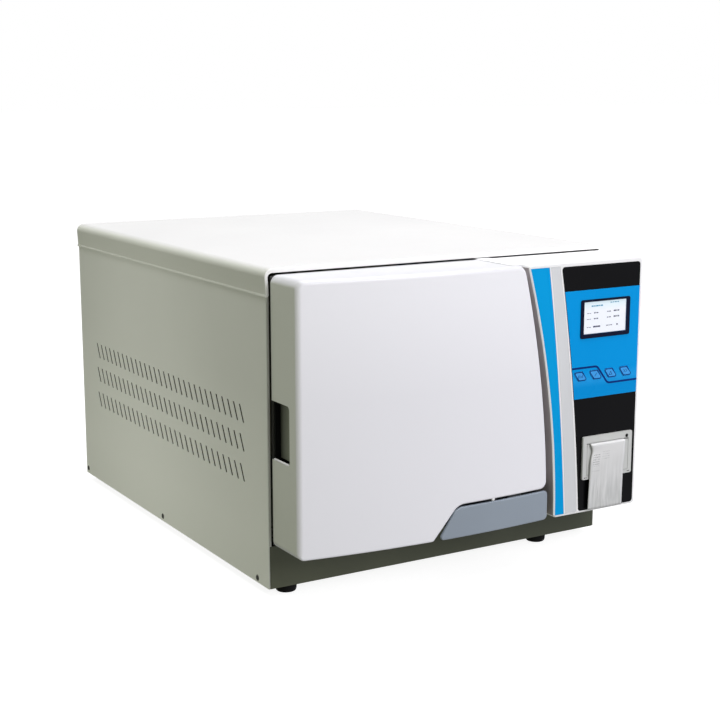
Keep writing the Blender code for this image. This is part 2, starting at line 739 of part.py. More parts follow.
def latch_tongue():
    """Steel tongue on the door's back with an eye for the lock bolt."""
    outline = rounded([(LATCH_X - 8, DOOR_BACK, 0), (LATCH_X + 8, DOOR_BACK, 0),
                       (LATCH_X + 8, 22, 5), (LATCH_X - 8, 22, 5)], 4)
    tongue = prism("latch_tongue", outline, "z", *LATCH_Z)
    cut(tongue, rod("bolt_eye", (LATCH_X, LATCH_Y), 4.2, "z", 80, 110, 16))
    return paint(tongue, STEEL, 0.3, 1.0)


def handle_lever():
    """Curved paddle that forms the floor of the finger recess."""
    path = [(12 + 6.5 * math.sin(t), -8.5 - 36 * math.cos(t)) for t in
            steps(0.0, math.pi / 2, 8)]
    lever = prism("handle_lever", band_outline(path, 2.5), "z", RECESS_Z[0] + 2, RECESS_Z[1] - 2)
    join(lever, rod("lever_barrel", LEVER_PIVOT, 3.0, "z", RECESS_Z[0] + 2, RECESS_Z[1] - 2, 14))
    return paint(lever, (0.09, 0.10, 0.075), 0.5)


def lock_bolt():
    """Round bolt that drops through the tongue's eye when the door is locked."""
    profile = [(0, 40), (5.5, 40), (5.5, 37), (3.4, 37), (3.4, 1), (2.4, 0), (0, 0)]
    bolt = turned("lock_bolt", profile, (LATCH_X, LATCH_Y, LATCH_Z[1] + 1), "up", 16)
    return paint(bolt, STEEL, 0.2, 1.0)


def lock_bracket():
    block = box("lock_bracket", (LATCH_X - 8, FRAME_Y + 2 + GAP, 104), (LATCH_X + 8, 24, 122))
    cut(block, rod("bolt_way", (LATCH_X, LATCH_Y), 3.8, "z", 95, 130, 16))
    return paint(block, (0.2, 0.2, 0.21), 0.5, 0.3)


def hinge_bracket(name, low, high, pin_low, pin_high, rear):
    """Flat arm from the bulkhead with an upright pin for the door."""
    outline = rounded([(HINGE_X - 12, rear, 0), (HINGE_X - 12, HINGE_Y - 5, 4),
                       (HINGE_X + 11, HINGE_Y - 5, 4), (HINGE_X + 11, rear, 0)], 4)
    arm = prism(name, outline, "z", low, high)
    join(arm, rod(name + "_pin", (HINGE_X, HINGE_Y), PIN_RADIUS, "z", pin_low, pin_high, 16))
    return paint(arm, WHITE, 0.4)


# ---------------------------------------------------------------- drain flap and valves

def drain_flap():
    """Blue-grey flap that fills the door's cut-out, hinged along its lower edge."""
    plan = [(x, crown(x)) for x in steps(180, 370, 8)]
    plan += [(x, crown(x) + FLAP_THICK) for x in steps(370, 180, 8)]
    flap = prism("drain_flap", plan, "z", 40, 110)
    outline = rounded([(192.5, BASE_TOP, 3), (FLAP_RIGHT, BASE_TOP, 6),
                       (FLAP_RIGHT, FLAP_TOP, 6), (217.5, FLAP_TOP, 16)], 5)
    combine(flap, prism("flap_outline", outline, "y", -120, -40), "INTERSECT")
    origin_at(flap, (CROWN_X, *FLAP_HINGE))
    return paint(flap, FLAP_GREY, 0.4)


def drain_bay():
    """Recess behind the flap that holds the two drain valves."""
    bay = box("drain_bay", (228, -79, BASE_TOP + 2), (354, FRAME_Y - GAP, 89.5))
    cut(bay, box("bay_hollow", (230, -90, BASE_TOP + 4), (352, -24, 87.5)))
    for x in KNOB_SPOTS.values():
        cut(bay, rod("valve_stem_hole", (x, KNOB_Z), 4, "y", -40, 10, 16))
    return paint(bay, (0.10, 0.10, 0.11), 0.6)


def drain_knob(name, x):
    """Quarter-turn knob with a bar grip, on its stem in the bay's rear wall."""
    knob = rod(name, (x, KNOB_Z), 9, "y", -38, -25, 24)
    join(knob, box(name + "_grip", (x - 8.4, -50, KNOB_Z - 2.5), (x + 8.4, -37, KNOB_Z + 2.5)),
         rod(name + "_stem", (x, KNOB_Z), 3.5, "y", -26, 1, 16))
    origin_at(knob, (x, -30, KNOB_Z))
    return knob


# ---------------------------------------------------------------- control column

def column_shell():
    """White column with a curved left edge, open at the back, seats cut for its trim."""
    def outline(inset):
        low, top = BASE_TOP + inset, COLUMN_TOP - inset
        right = WIDTH - inset
        edge = [(column_edge(z) + inset, z, 0) for z in steps(top - 8, low + 8, 10)]
        return rounded([(right, low, 4), (right, top, 5), (column_edge(top) + inset, top, 4)] +
                       edge + [(column_edge(low) + inset, low, 4)], 4)

    shell = soften(prism("column_shell", outline(0), "y", COLUMN_FRONT, -0.5), 2.0, 2, 50)
    cut(shell, prism("column_hollow", outline(COLUMN_WALL), "y", COLUMN_FRONT + COLUMN_WALL, 20))
    seat = COLUMN_FRONT + INLAY
    stripe = COLUMN_FRONT + STRIPE_INLAY
    low, high = STRIPE_Z[0] - GAP, STRIPE_Z[1] + GAP
    fascia = strip_outline(lambda z: fascia_edge(z) - GAP, lambda z: FASCIA_RIGHT + GAP,
                           FASCIA_Z[0] - GAP, FASCIA_Z[1] + GAP)
    cut(shell,
        prism("blue_seat", strip_outline(lambda z: blue_edges(z)[0] - GAP,
                                         lambda z: blue_edges(z)[1] + GAP, low, high),
              "y", -100, stripe),
        prism("silver_seat", strip_outline(lambda z: silver_edges(z)[0] - GAP,
                                           lambda z: silver_edges(z)[1] + GAP, low, high),
              "y", -100, stripe),
        prism("fascia_seat", fascia, "y", -100, seat),
        box("screen_window", (SCREEN_X[0], -100, SCREEN_Z[0]), (SCREEN_X[1], -60, SCREEN_Z[1])),
        box("printer_window", (BUCKET_X[0] - GAP, -100, BUCKET_Z[0] - GAP),
            (BUCKET_X[1] + GAP, -60, BUCKET_Z[1] + GAP)))
    for index in range(4):
        cut(shell, prism("key_well", key_outline(index, 0.6), "y", -100, -60))
    return paint(shell, WHITE, 0.35)


def stripe(name, edges, colour, metallic):
    """Thin curved strip laid in its seat on the column's front."""
    outline = strip_outline(lambda z: edges(z)[0], lambda z: edges(z)[1], *STRIPE_Z)
    sheet = prism(name, outline, "y", COLUMN_FRONT, COLUMN_FRONT + STRIPE_INLAY - 0.1)
    return paint(sheet, colour, 0.35, metallic)


def key_outline(index, grow=0.0):
    """Leaning four-sided key, in x and z."""
    left = KEY_LEFT + KEY_PITCH * index
    low, high = KEY_Z
    corners = [(left + KEY_LEAN - grow, low - grow, 2), (left + KEY_LEAN + KEY_WIDTH + grow * 1.4,
                                                         low - grow, 2),
               (left + KEY_WIDTH + grow, high + grow, 2), (left - grow * 1.4, high + grow, 2)]
    return rounded(corners, 3)


def control_fascia():
    """Dark panel with windows for screen, keys and printer."""
    outline = strip_outline(fascia_edge, lambda z: FASCIA_RIGHT, *FASCIA_Z)
    panel = prism("control_fascia", outline, "y", COLUMN_FRONT, COLUMN_FRONT + INLAY - 0.1)
    cut(panel, box("fascia_screen", (SCREEN_X[0], -90, SCREEN_Z[0]),
                   (SCREEN_X[1], -70, SCREEN_Z[1])),
        box("fascia_printer", (BUCKET_X[0] - 0.9, -90, BUCKET_Z[0] - 0.9),
            (BUCKET_X[1] + 0.9, -70, BUCKET_Z[1] + 0.9)))
    for index in range(4):
        cut(panel, prism("fascia_key", key_outline(index, 0.4), "y", -90, -70))
    return paint(panel, BLACK, 0.15)


def keypad_overlay():
    """Printed blue film over the middle of the fascia."""
    outline = strip_outline(lambda z: fascia_edge(z) + 0.2, lambda z: FASCIA_RIGHT - 0.2,
                            *KEYPAD_Z, 7)
    front = COLUMN_FRONT - GAP
    film = prism("keypad_overlay", outline, "y", front - FILM, front)
    cut(film, box("film_screen", (SCREEN_X[0], -90, SCREEN_Z[0]), (SCREEN_X[1], -70, SCREEN_Z[1])))
    for index in range(4):
        cut(film, prism("film_key", key_outline(index, 0.4), "y", -90, -70))
    return paint(film, BLUE, 0.3)


def display_bezel():
    front = COLUMN_FRONT - 2 * GAP - FILM
    frame = prism("display_bezel", rectangle(*BEZEL_X, *BEZEL_Z, 2, 3), "y", front - 0.8, front)
    cut(frame, box("bezel_window", (SCREEN_X[0], -90, SCREEN_Z[0]), (SCREEN_X[1], -70, SCREEN_Z[1])))
    return paint(frame, NAVY, 0.2)


def display_screen():
    screen = box("display_screen", (SCREEN_X[0] + GAP, COLUMN_FRONT - 1.0, SCREEN_Z[0] + GAP),
                 (SCREEN_X[1] - GAP, COLUMN_FRONT + 6, SCREEN_Z[1] - GAP))
    return paint(screen, (0.85, 0.9, 0.95), 0.15)


def key(index):
    """Membrane key that travels half a millimetre into the fascia."""
    pad = prism(f"key_{index + 1}", key_outline(index), "y", COLUMN_FRONT - 1.5,
                COLUMN_FRONT + 1.2)
    left = KEY_LEFT + KEY_PITCH * index
    origin_at(pad, (left + (KEY_WIDTH + KEY_LEAN) / 2, COLUMN_FRONT, sum(KEY_Z) / 2))
    return paint(pad, (0.08, 0.42, 0.85), 0.3)


# ---------------------------------------------------------------- printer

def printer_frame():
    """Bezel and paper bucket of the recorder, open at the front."""
    front = COLUMN_FRONT - GAP - 3.0
    frame = prism("printer_frame", rectangle(*PRINTER_X, *PRINTER_Z, 1.5, 3), "y", front,
                  COLUMN_FRONT - GAP)
    join(frame, box("bucket", (BUCKET_X[0], COLUMN_FRONT - 1, BUCKET_Z[0]),
                    (BUCKET_X[1], -36, BUCKET_Z[1])))
    cut(frame, box("bucket_hollow", (OPENING_X[0], -100, OPENING_Z[0]),
                   (OPENING_X[1], -38, OPENING_Z[1])))
    return paint(frame, (0.48, 0.5, 0.49), 0.4)


def printer_cover():
    """Front lid of the recorder, hinged along its lower edge."""
    lid = box("printer_cover", (OPENING_X[0] + 0.5, COLUMN_FRONT - 3.3, LID_Z[0]),
              (OPENING_X[1] - 0.5, COLUMN_FRONT - 0.8, LID_Z[1]))
    soften(lid, 0.4, 1)
    origin_at(lid, (456, *PRINTER_HINGE))
    return paint(lid, (0.50, 0.52, 0.51), 0.4)


def paper_roll():
    """Roll of recording paper on its hollow core."""
    profile = [(5, 28), (ROLL_RADIUS, 28), (ROLL_RADIUS, -28), (5, -28)]
    roll = turned("paper_roll", profile, (456, ROLL_Y, ROLL_Z), "right", 28)
    return paint(roll, WHITE, 0.8)


def paper_strip():
    """Strip of paper that curls out of the slot and hangs in front of the column."""
    far = FRONT_MOST + PAPER_THICK / 2
    slot_z = PAPER_PIVOT[1]
    path = [(far + PAPER_CURL * (1 - math.sin(t)), slot_z - PAPER_CURL * (1 - math.cos(t)))
            for t in steps(0, math.pi / 2, 6)]
    path += [(far, 100), (far + 0.6, 76), (far + 1.2, PAPER_FOOT)]
    strip = prism("paper_strip", band_outline(path, PAPER_THICK), "x", *PAPER_X)
    origin_at(strip, (sum(PAPER_X) / 2, *PAPER_PIVOT))
    return paint(strip, WHITE, 0.8)


# ---------------------------------------------------------------- assembly

def build():
    base_chassis()
    for name, spot in FOOT_SPOTS.items():
        foot(name, spot)
    side_panel("left_side_panel", False)
    side_panel("right_side_panel", True)
    top_cover()
    front_frame()
    rear_panel()

    chamber_vessel()
    outer = CHAMBER_RADIUS + CHAMBER_WALL
    sleeve("heater_jacket", outer + GAP, HEATER_RADIUS, 60, 400, (0.5, 0.35, 0.2), 0.3)
    sleeve("insulation_jacket", HEATER_RADIUS + GAP, WRAP_RADIUS, 14, 470, (0.7, 0.7, 0.65), 0)
    chamber_cradle()
    tray_rack()
    for name, level in TRAY_LEVELS.items():
        tray(name, level)

    tank("clean_water_tank", (336, 30, 216), (494, 330, 374))
    tank("waste_water_tank", (336, 30, 60), (494, 330, 205))
    steam_generator()
    vacuum_pump()
    condenser()
    fan_shroud()
    fan_rotor()
    main_board()
    safety_valve()
    drain_nozzle()
    power_inlet()
    power_switch_rocker()

    door = empty("door_hinge", (HINGE_X, HINGE_Y, 0), CORNER)
    hang(door, door_cover(), door_liner(), pressure_door(), door_gasket(), pressure_bridge(),
         latch_tongue())
    lever = handle_lever()
    hang(empty("lever_hinge", (*LEVER_PIVOT, 0), CORNER), lever)
    lock_bolt()
    lock_bracket()
    hinge_bracket("upper_hinge_bracket", 385.2, 386.7, 376, 386, 12)
    hinge_bracket("lower_hinge_bracket", 92.4, 94.8, 93, 104, FRAME_Y - GAP)

    drain_flap()
    drain_bay()
    for name, x in KNOB_SPOTS.items():
        colour = (0.02, 0.15, 0.6) if name.startswith("clean") else (0.5, 0.03, 0.03)
        paint(drain_knob(name, x), colour, 0.4)

    column_shell()
    stripe("blue_stripe", blue_edges, BLUE, 0)
    stripe("silver_stripe", silver_edges, SILVER, 0.6)
    control_fascia()
    keypad_overlay()
    display_bezel()
    display_screen()
    for index in range(4):
        key(index)
    printer_frame()
    printer_cover()
    paper_roll()
    paper_strip()


build()
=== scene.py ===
"""Looks of the benchtop autoclave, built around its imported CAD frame.

Shapes are given in millimetres from the casing's lower front left corner, as the
frame's own boxes give it: x to the right, y to the rear and z up. `piece` turns
them into the row frame's metres.
"""
import math

import bmesh
import bpy
from mathutils import Matrix, Vector
from mathutils.geometry import delaunay_2d_cdt


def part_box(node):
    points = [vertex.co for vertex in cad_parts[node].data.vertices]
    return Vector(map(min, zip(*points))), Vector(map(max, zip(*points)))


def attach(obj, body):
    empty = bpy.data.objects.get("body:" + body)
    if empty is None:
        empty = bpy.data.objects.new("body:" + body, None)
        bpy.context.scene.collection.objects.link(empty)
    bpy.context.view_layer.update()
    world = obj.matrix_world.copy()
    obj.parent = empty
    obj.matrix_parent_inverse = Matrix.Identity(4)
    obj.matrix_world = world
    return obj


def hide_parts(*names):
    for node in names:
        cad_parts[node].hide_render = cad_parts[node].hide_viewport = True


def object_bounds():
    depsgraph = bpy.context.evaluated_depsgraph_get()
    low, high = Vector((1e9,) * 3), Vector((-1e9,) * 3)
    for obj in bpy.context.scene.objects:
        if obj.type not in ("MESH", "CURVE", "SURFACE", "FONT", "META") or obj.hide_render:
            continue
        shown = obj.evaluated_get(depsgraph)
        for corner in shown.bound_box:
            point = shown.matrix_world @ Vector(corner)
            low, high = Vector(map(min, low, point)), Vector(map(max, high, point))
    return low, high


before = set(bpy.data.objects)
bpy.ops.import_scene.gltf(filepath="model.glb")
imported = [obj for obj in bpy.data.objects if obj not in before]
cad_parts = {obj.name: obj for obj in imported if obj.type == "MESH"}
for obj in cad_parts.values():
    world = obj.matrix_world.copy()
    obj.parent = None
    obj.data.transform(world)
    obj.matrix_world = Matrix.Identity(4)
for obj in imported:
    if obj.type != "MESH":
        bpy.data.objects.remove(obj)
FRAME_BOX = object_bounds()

CORNER = Vector((*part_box("left_side_panel")[0].xy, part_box("base_chassis")[0].z))
TO_ROW = Matrix.Translation(CORNER) @ Matrix.Scale(0.001, 4)


def bounds_mm(node):
    """Lowest and highest corner of a CAD node in millimetres from the casing's corner."""
    low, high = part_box(node)
    return (low - CORNER) * 1000, (high - CORNER) * 1000


COVER = bounds_mm("top_cover")
PANEL = bounds_mm("left_side_panel")
CASING_RIGHT = bounds_mm("right_side_panel")[1].x
BASE = bounds_mm("base_chassis")
DOOR = bounds_mm("door_cover")
DOOR[0].x -= 2.6                     # the door's shell reaches a little past its CAD node
DOOR[1].z += 1.8
FLAP = bounds_mm("drain_flap")
COLUMN = bounds_mm("column_shell")
COLUMN[1].z -= 0.8                   # and the column's shell ends a little below its own
FASCIA = bounds_mm("control_fascia")
FILM = bounds_mm("keypad_overlay")
BEZEL = bounds_mm("display_bezel")
SCREEN = bounds_mm("display_screen")
PRINTER = bounds_mm("printer_frame")
LID = bounds_mm("printer_cover")
PAPER = bounds_mm("paper_strip")
REAR = bounds_mm("rear_panel")

HINGE = Vector((310.0, -77.0))       # the door's pivot, x and y
HINGE_REACH = 73.0
DOOR_SILL = 95.8
RECESS_Z = (165.0, 237.0)
RECESS_FRONT = -48.0
CHAMBER = Vector((175.0, 0.0, 238.0))
COLUMN_WALL = 3.0
STRIPE_Z = (57.0, 381.0)
COLUMN_FRONT = COLUMN[0].y
SEAT_GAP, WINDOW_GAP = 0.25, 0.3     # round what lies on the column and what shows through it
AHEAD, WINDOW_REAR = -100.0, -60.0   # y where the column's cutters start and its windows end
KEY_COUNT = 4
FASCIA_RIGHT = FASCIA[1].x
KEY_LEFT, KEY_PITCH, KEY_WIDTH, KEY_LEAN = 396.6, 24.9, 14.6, 8.5
KEY_Z = (231.3, 243.3)
BUCKET_X, BUCKET_Z = (417.5, 493.5), (101.5, 150.5)
OPENING_X, OPENING_Z = (421.0, 491.0), (104.0, 148.2)


# ---------------------------------------------------------------- curves of the front

def door_edge(z):
    return 360.0 - 4.0e-4 * (z - 50) ** 2


def column_edge(z):
    return 371.1 - 4.38e-4 * (z - 50) ** 2


def blue_edges(z):
    return column_edge(z) + 2.6, 393.9 - 1.375e-4 * (z + 152) ** 2


def silver_edges(z):
    return blue_edges(z)[1] + 2.5, 413.2 - 1.824e-4 * (z + 97.5) ** 2


def fascia_edge(z):
    return silver_edges(z)[1] + 2.9


def crown(x):
    """y of the crowned door front."""
    return -87.0 + (x - 240.0) ** 2 / 2750.0


def steps(low, high, count):
    return [low + (high - low) * i / (count - 1) for i in range(count)]


def ease(value, low, high):
    """0 below low, 1 above high and a smooth rise between them."""
    t = min(max((value - low) / (high - low), 0.0), 1.0)
    return t * t * (3 - 2 * t)


# ---------------------------------------------------------------- materials

def new_material(name):
    material = bpy.data.materials.new(name)
    material.use_nodes = True
    return material, material.node_tree.nodes, material.node_tree.links


NOISE_SPAN = (0.3, 0.7)              # where nearly all of a noise texture lies


def noise_node(nodes, links, coords, scale, detail=3.0, stretch=(1, 1, 1)):
    mapping = nodes.new("ShaderNodeMapping")
    mapping.inputs["Scale"].default_value = stretch
    noise = nodes.new("ShaderNodeTexNoise")
    noise.inputs["Scale"].default_value = scale
    noise.inputs["Detail"].default_value = detail
    links.new(coords, mapping.inputs["Vector"])
    links.new(mapping.outputs["Vector"], noise.inputs["Vector"])
    return noise.outputs["Fac"]


def range_node(nodes, links, value, span, result=(0.0, 1.0)):
    """The value with its span stretched to the result's two ends."""
    node = nodes.new("ShaderNodeMapRange")
    for socket, number in zip(("From Min", "From Max", "To Min", "To Max"), (*span, *result)):
        node.inputs[socket].default_value = number
    links.new(value, node.inputs["Value"])
    return node.outputs["Result"]


def axis_of(nodes, links, vector, axis):
    split = nodes.new("ShaderNodeSeparateXYZ")
    links.new(vector, split.inputs["Vector"])
    return split.outputs[axis]


def relief(nodes, links, height, strength, depth=0.0002):
    """Bump a material's surface by a height."""
    bump = nodes.new("ShaderNodeBump")
    bump.inputs["Strength"].default_value = strength
    bump.inputs["Distance"].default_value = depth
    links.new(height, bump.inputs["Height"])
    links.new(bump.outputs["Normal"], nodes["Principled BSDF"].inputs["Normal"])


def mixed(nodes, links, factor, one, other):
    mix = nodes.new("ShaderNodeMix")
    mix.data_type = "RGBA"
    links.new(factor, mix.inputs["Factor"])
    for socket, value in (("A", one), ("B", other)):
        target = next(s for s in mix.inputs if s.name == socket and s.type == "RGBA")
        if isinstance(value, bpy.types.NodeSocket):
            links.new(value, target)
        else:
            target.default_value = (*value, 1)
    return next(s for s in mix.outputs if s.type == "RGBA")


def finish(name, colour, roughness, metallic=0.0, grain=900.0, bump=0.1, depth=0.0002,
           vary=0.06, blotch=9.0, stretch=(1, 1, 1), coat=0.0, ior=1.5, rough_spread=0.06):
    """Surface with a fine grain in its relief and slow changes of tone and roughness."""
    material, nodes, links = new_material(name)
    shader = nodes["Principled BSDF"]
    coords = nodes.new("ShaderNodeTexCoord").outputs["Object"]
    slow = noise_node(nodes, links, coords, blotch, 4.0, stretch)
    fine = noise_node(nodes, links, coords, grain, 2.0, stretch)
    lighter = tuple(min(c * (1 + vary), 1.0) for c in colour)
    darker = tuple(c * (1 - vary) for c in colour)
    tone = mixed(nodes, links, range_node(nodes, links, slow, NOISE_SPAN), darker, lighter)
    links.new(tone, shader.inputs["Base Color"])
    links.new(range_node(nodes, links, slow, NOISE_SPAN,
                         (roughness - rough_spread, roughness + rough_spread)),
              shader.inputs["Roughness"])
    relief(nodes, links, fine, bump, depth)
    shader.inputs["Metallic"].default_value = metallic
    shader.inputs["IOR"].default_value = ior
    shader.inputs["Coat Weight"].default_value = coat
    shader.inputs["Coat Roughness"].default_value = 0.08
    return material


def graded(material, *grades):
    """Blend a material's tone into other colours along its own axes.

    A grade is (source, axis, start, end, colour): the tone so far at start and the colour
    at end, by the place in millimetres ("Object") or by the surface's facing ("Normal")."""
    nodes, links = material.node_tree.nodes, material.node_tree.links
    shader = nodes["Principled BSDF"]
    tone = shader.inputs["Base Color"].links[0].from_socket
    for source, axis, start, end, colour in grades:
        place = axis_of(nodes, links, nodes.new("ShaderNodeTexCoord").outputs[source], axis)
        if source == "Object":
            start, end = (CORNER["XYZ".index(axis)] + value / 1000 for value in (start, end))
        tone = mixed(nodes, links, range_node(nodes, links, place, (start, end)), tone, colour)
    links.new(tone, shader.inputs["Base Color"])
    return material


def printed_paper():
    """Thermal paper with faint rows of grey marks in its own u and v, and painted shade in grey
    streaks towards its foot.
    """
    material, nodes, links = new_material("printed_paper")
    shader = nodes["Principled BSDF"]
    uv = nodes.new("ShaderNodeUVMap").outputs["UV"]
    u, v = (axis_of(nodes, links, uv, axis) for axis in "XY")

    def calc(operation, one, other=0.0):
        node = nodes.new("ShaderNodeMath")
        node.operation = operation
        for socket, value in zip(node.inputs, (one, other)):
            if isinstance(value, bpy.types.NodeSocket):
                links.new(value, socket)
            else:
                socket.default_value = value
        return node.outputs["Value"]

    def patch(low_u, high_u, low_v, high_v, strength):
        inside = [calc(test, value, edge) for value, low, high in ((u, low_u, high_u),
                                                                   (v, low_v, high_v))
                  for test, edge in (("GREATER_THAN", low), ("LESS_THAN", high))]
        across, along = (calc("MULTIPLY", *inside[i:i + 2]) for i in (0, 2))
        return calc("MULTIPLY", calc("MULTIPLY", across, along), strength)

    row = calc("LESS_THAN", calc("FRACT", calc("MULTIPLY", v, 30.0)), 0.45)
    dashes = noise_node(nodes, links, uv, 46.0, 1.0, (1.6, 0.65, 1))
    ink = calc("MULTIPLY", calc("GREATER_THAN", dashes, 0.48), row)
    dark = patch(0.07, 0.27, 0.2, 0.37, 0.6)
    pale = patch(0.33, 0.55, 0.16, 0.3, 0.25)
    last = patch(0.05, 0.3, 0.42, 0.46, 0.25)
    marks = calc("MULTIPLY", ink, calc("ADD", calc("ADD", dark, pale), last))
    # painted shade: grey streaks that grow towards the paper's foot, standing in for the shade of
    # its creases and of its lower part
    streak = noise_node(nodes, links, uv, 7.0, 4.0, (2.2, 0.3, 1))
    fade = calc("MULTIPLY", calc("SUBTRACT", v, 0.2), 1.4)
    crease_shade = calc("MULTIPLY", range_node(nodes, links, streak, NOISE_SPAN), fade)
    paper = mixed(nodes, links, crease_shade, (0.76, 0.76, 0.77), (0.47, 0.48, 0.48))
    links.new(mixed(nodes, links, marks, paper, (0.20, 0.20, 0.21)),
              shader.inputs["Base Color"])
    relief(nodes, links, noise_node(nodes, links, uv, 180.0), 0.15)
    shader.inputs["Roughness"].default_value = 0.7
    return material


GLOSSY = dict(grain=420, bump=0.04, vary=0.01, blotch=5, coat=0.1)
PRINTED = dict(grain=1500, bump=0.04, vary=0.02, ior=1.15)
MOULDED = dict(grain=900, bump=0.12, vary=0.06)

# name: colour, roughness and what else differs from finish's own values
FINISHES = {
    "white_gloss": ((0.87, 0.865, 0.89), 0.32, GLOSSY),
    "door_white": ((0.87, 0.865, 0.915), 0.32, dict(GLOSSY, vary=0.006, rough_spread=0.015)),
    "column_white": ((0.94, 0.935, 0.95), 0.32, GLOSSY),
    # cover_paint's colour is set darker than panel_paint's: painted shade for the cover's leaning
    # side lips
    "cover_paint": ((0.68, 0.69, 0.64), 0.42, dict(grain=1300, bump=0.14, vary=0.02, blotch=6)),
    "panel_paint": ((0.76, 0.77, 0.73), 0.5, dict(grain=1400, bump=0.2, vary=0.02, blotch=5)),
    "base_paint": ((0.088, 0.095, 0.063), 0.52,
                   dict(grain=1400, bump=0.25, vary=0.08, blotch=12, ior=1.35)),
    # painted shade: the grey of the column's left wall where it shows in the gap by the door
    "gap_painted_shade": ((0.46, 0.42, 0.42), 0.6, dict(grain=1400, ior=1.3)),
    # painted shade: near black for the walls of the louvre slots
    "slot_painted_shade": ((0.035, 0.035, 0.03), 0.7, dict(grain=1400, ior=1.2)),
    "bulkhead": ((0.20, 0.20, 0.19), 0.45, dict(metallic=0.5, bump=0.12, vary=0.05)),
    "rubber": ((0.005, 0.005, 0.005), 0.75, dict(grain=1100, bump=0.3, vary=0.15, ior=1.25)),
    "steel": ((0.58, 0.58, 0.56), 0.32,
              dict(metallic=1.0, grain=500, bump=0.08, vary=0.07, stretch=(1, 14, 14))),
    "polished_steel": ((0.66, 0.66, 0.65), 0.16,
                       dict(metallic=1.0, grain=380, bump=0.05, vary=0.05, stretch=(12, 1, 12),
                            rough_spread=0.04)),
    "dark_screw": ((0.07, 0.07, 0.07), 0.35, dict(metallic=0.9, grain=1500)),
    "blue_film": ((0.0, 0.35, 0.78), 0.3, PRINTED),
    "silver_film": ((0.72, 0.73, 0.755), 0.36,
                    dict(metallic=0.15, grain=1500, bump=0.06, vary=0.025, stretch=(3, 3, 0.4))),
    "fascia_gloss": ((0.0035, 0.0035, 0.0042), 0.24,
                     dict(grain=1500, bump=0.02, vary=0.1, ior=1.2)),
    "keypad_film": ((0.0, 0.32, 0.80), 0.3, PRINTED),
    "key_face": ((0.06, 0.37, 0.87), 0.3, dict(PRINTED, bump=0.05, vary=0.03)),
    "navy": ((0.003, 0.028, 0.19), 0.3, dict(PRINTED, bump=0.03, vary=0.08)),
    "bezel": ((0.003, 0.006, 0.028), 0.26, dict(grain=1500, bump=0.03, vary=0.1, ior=1.2)),
    "screen_ink": ((0.03, 0.035, 0.10), 0.4, dict(vary=0.05, ior=1.15)),
    "screen_cyan": ((0.08, 0.36, 0.55), 0.4, dict(vary=0.05, ior=1.15)),
    "lit_screen": ((0.82, 0.85, 0.91), 0.12, dict(vary=0.0, bump=0.0, rough_spread=0.0)),
    "flap_plastic": ((0.27, 0.315, 0.375), 0.42, dict(grain=1100, bump=0.16, vary=0.035, blotch=8)),
    "dark_plastic": ((0.022, 0.022, 0.024), 0.5, dict(grain=1000, bump=0.2, vary=0.12)),
    "lever_plastic": ((0.22, 0.235, 0.185), 0.5, dict(grain=1000, bump=0.15, ior=1.3)),
    "grey_plastic": ((0.61, 0.62, 0.61), 0.42, dict(grain=1000, bump=0.12, vary=0.025)),
    "paper": ((0.78, 0.78, 0.76), 0.75, dict(grain=1200, bump=0.15, vary=0.03)),
    "brass": ((0.65, 0.43, 0.16), 0.28, dict(metallic=1.0, grain=700, bump=0.08, vary=0.1)),
    "silicone": ((0.55, 0.52, 0.47), 0.5, dict(grain=700, bump=0.15, vary=0.05)),
    "insulation": ((0.45, 0.42, 0.33), 0.85,
                   dict(grain=260, bump=0.6, depth=0.001, vary=0.15, blotch=30)),
    "board": ((0.01, 0.12, 0.05), 0.4, dict(grain=300, bump=0.2, vary=0.25, blotch=60)),
    "tank_plastic": ((0.60, 0.66, 0.70), 0.35, dict(grain=600, vary=0.05)),
    "knob_blue": ((0.01, 0.12, 0.55), 0.35, MOULDED),
    "knob_red": ((0.50, 0.02, 0.02), 0.35, MOULDED),
    "heater": ((0.30, 0.18, 0.08), 0.55, dict(metallic=0.5, grain=300, bump=0.3, vary=0.2)),
}

# tones that change across a material, as graded takes them; the door's, cover's, panels', base's
# and lever's are painted light and shade, while the keypad film's and the screen's are their own
# tones
GRADES = {
    # painted highlight: the door's white turns lighter towards its top, as under the overhead light
    "door_white": [("Object", "Z", 240, 360, (0.94, 0.935, 0.985)),
                   # painted shade: faces that look to the left turn olive grey
                   ("Normal", "X", -0.9, -0.995, (0.68, 0.695, 0.645)),
                   # painted shade: faces that look up turn a darker grey
                   ("Normal", "Z", 0.05, 0.75, (0.60, 0.60, 0.63))],
    # painted shade: faces that look up turn a darker neutral grey
    "cover_paint": [("Normal", "Z", 0.6, 0.98, (0.593, 0.588, 0.587)),
                    # painted highlight: faces that look ahead, such as the front return, turn near
                    # white
                    ("Normal", "Y", -0.5, -0.95, (0.94, 0.94, 0.93))],
    # painted light: everything in this paint turns lighter towards the bottom, standing in for
    # light thrown up from the floor
    "panel_paint": [("Object", "Z", 250, 60, (0.90, 0.91, 0.865)),
                    # painted shade: faces that look ahead, such as the panels' folded front edge,
                    # turn a darker grey
                    ("Normal", "Y", -0.5, -0.95, (0.49, 0.495, 0.47))],
    # painted shade: the base tray turns darker towards the right
    "base_paint": [("Object", "X", 120, 480, (0.062, 0.069, 0.045))],
    "keypad_film": [("Object", "Z", 243, 231, (0.015, 0.345, 0.83)),
                    ("Object", "Z", 231, 222, (0.0, 0.285, 0.73))],
    "lit_screen": [("Object", "Z", 320, 331, (0.70, 0.83, 0.91))],
    # painted shade: the lever fades to near black towards the rear, where the finger recess lies in
    # shade
    "lever_plastic": [("Object", "Y", -31, -4, (0.03, 0.032, 0.026))],
}

MATERIALS = {name: graded(finish(name, colour, roughness, **settings), *GRADES.get(name, ()))
             for name, (colour, roughness, settings) in FINISHES.items()}
MATERIALS["printed_paper"] = printed_paper()


